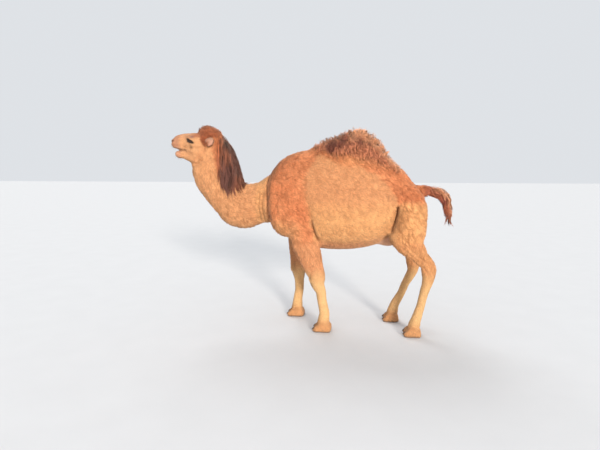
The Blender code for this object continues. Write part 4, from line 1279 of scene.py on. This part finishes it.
# %% Long locks
def long_hair_piece(
    name, mask, density, steps, length, height, half, pull, curl, grain, uneven, line, seed
):
    """Locks over one region. mask is 0 to 1, and thins the locks, shortens them and lays them lower towards
    the region's edge. length, height and half width are ranges. Locks gather to clumps of this grain, whose
    tones differ by uneven. On the hump's ridge some clumps stand up higher."""
    index, root = roots(density * fade(mask, 0.1, 0.7), mask > 0.12)
    count = len(index)
    gather, number = clump(root, grain, seed)
    n = normals[index]
    lean = (gather - dot(gather, n) * n) * 0.6
    full = fade(mask[index], 0.2, 0.95)
    long = chance.uniform(*length, count) * (0.75 + 0.5 * number) * (0.45 + 0.55 * full)
    high = chance.uniform(*height, count) * (0.35 + 0.65 * full)
    high = high * (1 + 0.6 * on_ridge(root) * fade(number, 0.4, 0.9))
    paths = comb(index, root, steps, long, pull(root) + lean, high, curl, seed)
    tone = np.maximum(1 + chance.normal(0, 0.15, (count, 1)) + uneven * (number[:, None] - 0.5), 0.35)
    colour = coat_colour[index] * tone
    widths = taper(steps - 2, chance.uniform(*half, count))
    # Along the animal's middle the locks stand up into the light, so their normals turn up as well.
    lit = unit(n + fade(np.abs(root[:, 1:2]), 0.09, 0.03) * (0, 0, 0.8))
    wrap = wrap_of(root, line)
    mesh = strands(name, paths + MIDDLE, widths, lit, colour * 0.65, colour * 1.15, wrap, LONG_SOFT)
    piece(name, mesh, hair)


# %% Where the locks are pulled to
def on_ridge(points):
    """1 along the hump's ridge, where the wool stands in peaks, and 0 elsewhere."""
    x, y, z = points.T
    return fade(np.abs(y), 0.11, 0.05) * fade(z, 1.70, 1.76) * fade(np.abs(x - 0.15), 0.35, 0.22)


def mane_pull(points):
    """Down and a little out over both sides of the neck."""
    return sideways(points, 0.15, 0.35, 0.9)


def crown_pull(points):
    """Back over the crown, and down on its sides."""
    return sideways(points, 0.6, 0.2, 0.4)


def crest_pull(points):
    """Down and out on the hump's sides, and up and back on its ridge."""
    up = on_ridge(points)[:, None]
    return sideways(points, 0.15, 0.5, 0.9) * (1 - up) + up * (0.5, 0.0, 1.2)


def straight(way):
    """A pull that is the same everywhere."""
    return lambda points: np.tile(way, (len(points), 1))


# %% Mane and crest
left_half = places[:, 1] < 0
for word, half_mask in (("left", left_half), ("right", ~left_half)):
    long_hair_piece(
        f"mane_{word}", area["mane"] * half_mask, density=29000, steps=7, length=(0.07, 0.17),
        height=(0.006, 0.034), half=(0.0010, 0.0019), pull=mane_pull, curl=0.55, grain=0.040,
        uneven=1.00, line=LINES["neck"], seed=60,
    )
    long_hair_piece(
        f"crest_{word}", area["crest"] * half_mask, density=21500, steps=5, length=(0.026, 0.050),
        height=(0.010, 0.040), half=(0.0014, 0.0024), pull=crest_pull, curl=1.4, grain=0.030,
        uneven=0.50, line=LINES["trunk"], seed=70,
    )

# %% Crown, tail and knees
long_hair_piece(
    "crown_wool", area["crown"], density=34000, steps=5, length=(0.018, 0.034), height=(0.005, 0.020),
    half=(0.0010, 0.0017), pull=crown_pull, curl=1.2, grain=0.026, uneven=0.45, line=LINES["head"], seed=80,
)
long_hair_piece(
    "tail_hair", area["tail"], density=24000, steps=6, length=(0.05, 0.10), height=(0.006, 0.022),
    half=(0.0013, 0.0024), pull=straight((0.0, 0.0, -0.15)), curl=0.5, grain=0.030,
    uneven=0.60, line=LINES["tail"], seed=90,
)
above_knee = np.zeros(len(places))
for limb in LIMBS[:2]:
    reach = np.linalg.norm((places - LINES[limb][5] - (-0.045, 0, 0.03)) / (0.05, 0.07, 0.09), axis=1)
    above_knee = np.maximum(above_knee, fade(reach, 1.15, 0.6))
long_hair_piece(
    "knee_feather", above_knee, density=26000, steps=5, length=(0.030, 0.055), height=(0.005, 0.014),
    half=(0.0008, 0.0013), pull=straight((-0.15, 0.0, -0.5)), curl=0.9, grain=0.022,
    uneven=0.40, line=LINES["foreleg_left"], seed=95,
)

# %% [markdown]
# ## Lashes and whiskers
# Two rows of long lashes keep sand out of the eye: they stand on the upper lid, longest in its middle, and
# shade the eye. A shorter row stands on the lower lid. Whiskers are few and stiff, on the lips, the chin
# and over the eye. Flat cards with painted lashes are common, but they vanish from the side, so each lash
# is a thin closed strand.


# %% Stiff hairs
def bristles(name, root, way, up, length, droop, half, root_colour, tip_colour):
    """Stiff hairs on both sides of the head: each follows root + way * s + droop * s^2, s from 0 to its
    length."""
    sides = [(1, side, 1) for side in (-1, 1)]
    root, way, up = (np.vstack([rows * side for side in sides]) for rows in (root, unit(way), up))
    long = np.tile(length, 2)[:, None, None]
    s = np.array([-0.10, 0.25, 0.5, 0.75, 1.0])[None, :, None] * long
    fall = np.array(droop) / long * s * np.abs(s)
    paths = root[:, None] + way[:, None] * s + fall
    count = len(root)
    wrap = wrap_of(root, LINES["head"])
    mesh = strands(
        name, paths + MIDDLE, taper(3, np.full(count, half)), up,
        np.tile(root_colour, (count, 1)), np.tile(tip_colour, (count, 1)), wrap, STIFF_SOFT,
    )
    piece(name, mesh, hair)


# %% Lashes
LASH_ROOT, LASH_TIP = linear("#1f120d"), linear("#4a2c1f")
WHISKER_ROOT, WHISKER_TIP = linear("#6b4a36"), linear("#b08a66")


def lash_row(name, count, height, lift, length):
    """Lashes along one edge of the opening, at b = height * (1 - (a / reach)^2), fanned out by their place
    along it."""
    a = np.linspace(-0.86, 0.92, count) * LID_REACH + chance.normal(0, 0.0005, count)
    b = height * (1 - (a / LID_REACH) ** 2) + 0.0016 * np.sign(height)
    on_ball = np.sqrt(np.maximum((EYE_RADIUS + LID_THICK) ** 2 - a**2 - b**2, 0))
    root = EYE + a[:, None] * EYE_ACROSS + b[:, None] * EYE_UP + on_ball[:, None] * EYE_OUT
    way = EYE_OUT + lift * EYE_UP + (a / LID_REACH * 0.7)[:, None] * EYE_ACROSS
    way = way + chance.normal(0, 0.12, (count, 3))
    long = length * (0.65 + 0.35 * np.cos(a / LID_REACH * 1.3)) * chance.uniform(0.85, 1.15, count)
    bristles(name, root, way, unit(root - EYE), long, -0.25 * lift * EYE_UP, 0.00055, LASH_ROOT, LASH_TIP)


lash_row("upper_lashes", 50, LID_UP, 0.05, 0.032)
lash_row("upper_lashes_short", 44, LID_UP * 1.15, 0.50, 0.020)
lash_row("lower_lashes", 34, -LID_DOWN, -0.40, 0.014)


# %% Whiskers
def whisker_field(name, middle, spread, count, length, way):
    """Whiskers about a place on the head, each from the nearest skin."""
    near = nearest(np.array(middle) + chance.normal(0, 1, (count, 3)) * spread)
    near = near[places[near, 1] > 0.004]
    way = normals[near] + np.array(way) + chance.normal(0, 0.15, (len(near), 3))
    long = length * chance.uniform(0.6, 1.2, len(near))
    droop = (0.1, 0, -0.35)
    bristles(name, places[near], way, normals[near], long, droop, 0.0004, WHISKER_ROOT, WHISKER_TIP)


whisker_field("lip_whiskers", (-1.885, 0.04, 1.870), (0.015, 0.012, 0.010), 26, 0.020, (-0.5, 0.2, -0.4))
whisker_field("chin_whiskers", (-1.85, 0.03, 1.760), (0.02, 0.015, 0.010), 30, 0.022, (-0.2, 0.0, -0.7))
whisker_field("brow_whiskers", (-1.69, 0.10, 1.955), (0.015, 0.01, 0.006), 10, 0.026, (-0.2, 0.3, 0.6))

# %% [markdown]
# ## Ears
# A camel's ear is small, rounded and thickly furred, cupped near its root and open to the front and side.
# It is a leaf whose middle line runs from root to tip. At s along it and t across, from -1 to 1, its half
# width is the ear's times 0.1 * (1 - s) + sin(pi * s^0.8)^0.75. The leaf is bent towards its open side by
# the square of t, most a third of the way up. A sheet thickened by a modifier would have blunt rims, so
# rings are laid round the leaf and thinned towards them.

# %% Ear leaves
ear_low, ear_high = (np.array(corner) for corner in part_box("ear_left"))
EAR_WAY = unit(np.array([0.84, 0.45, 0.30]))
EAR_OPEN = unit(np.cross(EAR_WAY, np.cross((-0.10, 0.98, -0.10), EAR_WAY)))
EAR_ACROSS = np.cross(EAR_OPEN, EAR_WAY)
EAR_MIDDLE = (ear_low + ear_high) / 2 * (1, -1, 1) - MIDDLE
EAR_LONG, EAR_WIDE, EAR_THICK = 0.124, 0.040, 0.0042
EAR_FUR, EAR_INNER, EAR_HOLLOW_SHADE = linear("#dd9a72"), linear("#eab094"), linear("#54291d")


def leaf(s, t):
    """Places on the ear's middle surface, s from 0 to 1 and t from -1 to 1, about the trunk's middle."""
    wide = EAR_WIDE * (0.10 * (1 - s) + np.sin(math.pi * np.clip(s * 0.94 + 0.03, 0, 1) ** 0.8) ** 0.75)
    bend = (0.009 + 0.020 * np.sin(math.pi * np.clip(1.5 * s + 0.05, 0, 1))) * t**2 + 0.008 * s**2 - 0.006
    up, across = (s - 0.5) * EAR_LONG, wide * t * (1 - 0.25 * (1 - s) * t**2)
    return EAR_MIDDLE + up[..., None] * EAR_WAY + across[..., None] * EAR_ACROSS + bend[..., None] * EAR_OPEN


def ear_shell():
    """Rows of rings: a ring runs over the open face from t = -1 to 1 and back over the other, half the
    thickness off the leaf on each side and thinned to nothing at the rims."""
    rows, columns = 30, 34
    turn = np.linspace(0, 2 * math.pi, columns, endpoint=False)
    s, turn = np.meshgrid(np.linspace(0.0, 1.0, rows), turn, indexing="ij")
    t, face = np.cos(turn), np.sin(turn)
    return on_ear(s, t, face), s, t, face


def on_ear(s, t, face):
    """Places on the ear's skin. face runs from -1 on its back over 0 at the rims to 1 on its open side."""
    return leaf(s, t) + (EAR_THICK * face * (1 - 0.45 * s))[..., None] * EAR_OPEN


print("ear:", EAR_LONG, "long and about", 2 * EAR_WIDE, "wide")


# %% Ear skin and fur
def ear(word, side):
    """The ear's skin with its paler inside and painted shade in its opening and at its root, and then its
    fur.
    """
    flip = np.array((1, side, 1))
    shell, s, t, face = ear_shell()
    mesh = capped_tube(f"ear_skin_{word}", shell * flip + MIDDLE, *s.shape)
    inside = fade(face, -0.1, 0.3) * fade(np.abs(t), 0.98, 0.7)
    colour = blend(np.tile(EAR_FUR, (s.size, 1)), EAR_INNER, inside.ravel())
    # Painted shade in the ear's opening and down at its root.
    hollow_shade = np.exp(-(((s - 0.33) / 0.10) ** 2) - ((t + 0.10) / 0.28) ** 2) + fade(s, 0.22, 0.08)
    colour = blend(colour, EAR_HOLLOW_SHADE, np.clip(inside * hollow_shade, 0, 0.9).ravel())
    paint(mesh, "coat", colour)
    piece(f"ear_skin_{word}", mesh, wool_skin, [f"ear_{word}"])
    ear_fur(word, side, 2600)


def ear_fur(word, side, count):
    """Tufts at random places of the ear's skin, which lie towards its tip and spread out to its rims."""
    flip = np.array((1, side, 1))
    s, turn = chance.uniform(0.02, 0.97, count), chance.uniform(0, 2 * math.pi, count)
    t, face = np.cos(turn), np.sin(turn)
    root = on_ear(s, t, face)
    n = unit(face[:, None] * EAR_OPEN + (t * np.abs(t))[:, None] * EAR_ACROSS)
    spread = 0.7 * (t * (face < 0.3))[:, None] * EAR_ACROSS
    way = laid_flat(EAR_WAY + spread + chance.normal(0, 0.2, (count, 3)), n)
    rim = fade(np.abs(t), 0.6, 0.95)
    long = 0.010 + 0.007 * rim + 0.006 * (face > 0.2) * fade(s, 0.5, 0.2)
    long = long[:, None] * chance.uniform(0.7, 1.2, (count, 1))
    lift = (0.002 + 0.002 * rim)[:, None]
    tone = 1 + chance.normal(0, 0.07, (count, 1))
    fur = blend(np.tile(EAR_FUR, (count, 1)), EAR_INNER, 0.7 * (face > 0.1))
    fur = blend(fur, CROWN, 0.8 * fade(s, 0.30, 0.10) * (face > 0)) * tone
    wrap = np.stack([s, turn / (2 * math.pi)], 1)
    across = np.cross(n, way)
    spots = root - n * 0.001, root + way * long * 0.45 + n * lift, root + way * long + n * lift * 1.3
    mesh = short_tufts(
        f"ear_fur_{word}", *(spot_row * flip + MIDDLE for spot_row in spots), 0.0009,
        across * flip * side, n * flip, fur * 0.78, fur * 1.05, wrap,
    )
    piece(f"ear_fur_{word}", mesh, hair)


for side, word in ((-1, "left"), (1, "right")):
    ear(word, side)

# %% [markdown]
# ## Toenails
# Each toe carries one short, blunt nail on its upper front. Horn grows in ridges across it, is worn pale at
# the tip and is dull like wax. The nail is an arch: at s from the cuticle to the tip and t round it, a half
# ellipse whose size shrinks towards the tip, with a ripple of a few ridges. A bevelled box would do from
# afar, but rings carry ridges and wear in one formula.

# %% Worn horn
# Half rough with a trace of clear coat: a wide, low shine, as on horn that gravel has rubbed.
worn_horn, horn_shader = finish_of("worn_toenail_horn", Roughness=0.5, Coat_Weight=0.08, Coat_Roughness=0.4)
horn_colour = add_node(worn_horn, "ShaderNodeAttribute", {"attribute_name": "coat"})
horn_place = add_node(worn_horn, "ShaderNodeTexCoord")
horn_grain = add_node(
    worn_horn, "ShaderNodeTexNoise",
    inputs={"Vector": horn_place.outputs["Object"], "Scale": 900.0, "Detail": 3.0},
)
horn_bump = add_node(
    worn_horn, "ShaderNodeBump",
    inputs={"Height": horn_grain.outputs["Fac"], "Strength": 0.35, "Distance": 0.0006},
)
join_to(worn_horn, horn_colour.outputs["Color"], horn_shader.inputs["Base Color"])
join_to(worn_horn, horn_bump.outputs[0], horn_shader.inputs["Normal"])
print(worn_horn.name, "has", len(worn_horn.node_tree.nodes), "nodes")

# %% Nails
NAIL_SLOPE, NAIL_LONG, NAIL_HIGH = math.radians(32), 0.042, 0.0145
NAIL_RIDGES = 34            # radians of ripple along the nail, a little over five ridges
HORN_ROOT, HORN_TIP = linear("#4d3a2c"), linear("#8a705a")


def toenail(node):
    """One nail, from its solid's box: it slopes forward and down."""
    low, high = (np.array(corner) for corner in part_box(node))
    centre, size = (low + high) / 2, (high - low) / 2
    along = np.array([-math.cos(NAIL_SLOPE), 0, -math.sin(NAIL_SLOPE)])
    over = np.array([-along[2], 0, along[0]]) * -1
    rows, columns = 22, 28
    s = np.linspace(0, 1, rows)[:, None]
    turn = np.linspace(0, 2 * math.pi, columns, endpoint=False)[None]
    shrink = np.sin(math.pi * (0.14 + 0.80 * s)) ** 0.45 * (1 - 0.22 * s)
    ripple = np.sin(s * NAIL_RIDGES)
    ridge = 1 + 0.022 * ripple * fade(s, 0.95, 0.8)
    across = size[1] * 0.98 * shrink * ridge * np.cos(turn)
    up = NAIL_HIGH * shrink * ridge * np.sin(turn) * np.where(np.sin(turn) < 0, 0.6, 1.0)
    forward = (s - 0.5) * NAIL_LONG + 0 * turn
    points = centre + forward[..., None] * along + up[..., None] * over + across[..., None] * (0, 1, 0)
    points[..., 2] = np.maximum(points[..., 2], 0.0015)
    mesh = capped_tube(node + "_horn", points, rows, columns)
    shade = (0.5 + 0.5 * ripple) + 0 * turn
    colour = np.tile(HORN_ROOT, (rows * columns, 1))
    colour = blend(colour, HORN_TIP, np.repeat(s.ravel(), columns) ** 2)
    colour = colour * (0.88 + 0.16 * shade.reshape(-1, 1))
    paint(mesh, "coat", colour)
    piece(node + "_horn", mesh, worn_horn, [node])


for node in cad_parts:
    if node.startswith("toenail"):
        toenail(node)

# %% [markdown]
# ## Eyes
# A camel's eye is large, dark brown and wet, with a wide level pupil. The ball is a sphere whose front
# swells a little as the cornea: radius * (1 + 0.05 * fade of the angle from its axis). Pupil and iris are
# colours on the ball, because the real ones lie close under its surface.

# %% Eyeballs
# Almost mirror smooth under a clear coat: the small sharp highlight of a wet eye.
wet_eye, eye_shader = finish_of("wet_dark_eye", Roughness=0.04, Coat_Weight=0.6, Coat_Roughness=0.02)
iris = add_node(wet_eye, "ShaderNodeAttribute", {"attribute_name": "coat"})
join_to(wet_eye, iris.outputs["Color"], eye_shader.inputs["Base Color"])
PUPIL_WIDE, PUPIL_HIGH = 0.0085, 0.0045
PUPIL, IRIS, EYE_WHITE = linear("#0a0605"), linear("#3a1f12"), linear("#5a3a2c")


def eyeball(name, side, node):
    """Rings of points about the eye's own axis: at angle t from it and turn u round it, the radius is
    swollen near the axis. Colour goes from pupil to iris to the brown white of the eye."""
    rows, columns = 33, 48
    t = np.linspace(0.02, math.pi - 0.02, rows)[:, None]
    u = np.arange(columns)[None] * 2 * math.pi / columns
    swell = EYE_RADIUS * 0.985 * (1 + 0.05 * fade(t, 0.75, 0.35))
    out, across, up = (axis * (1, side, 1) for axis in (EYE_OUT, EYE_ACROSS, EYE_UP))
    a, b, c = swell * np.sin(t) * np.cos(u), swell * np.sin(t) * np.sin(u), swell * np.cos(t) + 0 * u
    points = a[..., None] * across + b[..., None] * up + c[..., None] * out
    mesh = capped_tube(name, points + EYE * (1, side, 1) + MIDDLE, rows, columns)
    pupil = np.sqrt((a / PUPIL_WIDE) ** 2 + (b / PUPIL_HIGH) ** 2)
    angle = t + 0 * u
    shade = np.tile(PUPIL, (rows * columns, 1))
    shade = blend(shade, IRIS, (fade(pupil, 0.9, 1.15) * fade(angle, 0.95, 0.8)).ravel())
    shade = blend(shade, EYE_WHITE, fade(angle, 0.95, 1.05).ravel())
    paint(mesh, "coat", shade)
    piece(name, mesh, wet_eye, [node])


for side, word in ((-1, "left"), (1, "right")):
    eyeball(f"eyeball_{word}", side, f"eye_{word}")

# %% [markdown]
# ## Studio
# A plain pale floor, a soft key light from behind and to the right of the viewer, a weaker one from the far
# side, and an even pale surround. The viewer stands at a grown-up's eye height, a little ahead of square to
# the animal.

# %% Camera
VIEW_TURN, VIEW_TILT = math.radians(10), math.radians(6.8)
VIEW_HEIGHT, VIEW_DISTANCE, VIEW_ASIDE = 1.6, 4.6, 0.51
LENS, SENSOR = 27.06, 36.0

right = Vector((math.cos(VIEW_TURN), math.sin(VIEW_TURN), 0))
ahead = Vector((-math.sin(VIEW_TURN), math.cos(VIEW_TURN), 0))
camera = in_scene("camera", bpy.data.cameras.new("camera"))
camera.data.lens, camera.data.sensor_width = LENS, SENSOR
camera.location = Vector(MIDDLE) - VIEW_ASIDE * right - VIEW_DISTANCE * ahead + Vector((0, 0, VIEW_HEIGHT))
gaze = ahead * math.cos(VIEW_TILT) - Vector((0, 0, math.sin(VIEW_TILT)))
camera.rotation_euler = gaze.to_track_quat("-Z", "Y").to_euler()
bpy.context.scene.camera = camera
print("camera at", [round(v, 2) for v in camera.location])


# %% Light
def soft_light(name, way, strength, spread, colour):
    """A broad distant light that shines along a way."""
    lamp = bpy.data.lights.new(name, "SUN")
    lamp.energy, lamp.angle, lamp.color = strength, math.radians(spread), colour
    in_scene(name, lamp).rotation_euler = way.to_track_quat("-Z", "Y").to_euler()


down = Vector((0, 0, -1))
soft_light("key", ahead * 1.0 - right * 0.30 + down * 0.26, 3.2, 10, (1.0, 0.94, 0.87))
soft_light("far_side", -ahead * 0.9 + right * 0.3 + down * 1.0, 1.1, 30, (0.95, 0.97, 1.0))
world = bpy.data.worlds.new("surround")
bpy.context.scene.world = world
world.use_nodes = True
surround = world.node_tree.nodes["Background"].inputs
surround["Color"].default_value, surround["Strength"].default_value = (0.90, 0.93, 0.97, 1), 0.82
bpy.context.scene.view_settings.view_transform = "Standard"

# %% Floor
# Matt all over, so that nothing on the floor shines beside the animal.
floor_finish, floor_shader = finish_of("pale_studio_floor", Roughness=0.9)
floor_place = add_node(floor_finish, "ShaderNodeTexCoord")
floor_grain = add_node(
    floor_finish, "ShaderNodeTexNoise",
    inputs={"Vector": floor_place.outputs["Object"], "Scale": 3.0, "Detail": 4.0},
)
floor_tone = add_node(
    floor_finish, "ShaderNodeMapRange",
    inputs={"Value": floor_grain.outputs["Fac"], "To Min": 0.66, "To Max": 0.70},
)
join_to(floor_finish, floor_tone.outputs[0], floor_shader.inputs["Base Color"])
FLOOR_REACH, FLOOR_DROP = 60.0, 0.0005
corners = np.array([(-1, -1, 0), (1, -1, 0), (1, 1, 0), (-1, 1, 0)]) * FLOOR_REACH - (0, 0, FLOOR_DROP)
floor = in_scene("floor", mesh_from("floor", corners, np.array([[0, 1, 2, 3]])))
floor.data.materials.append(floor_finish)
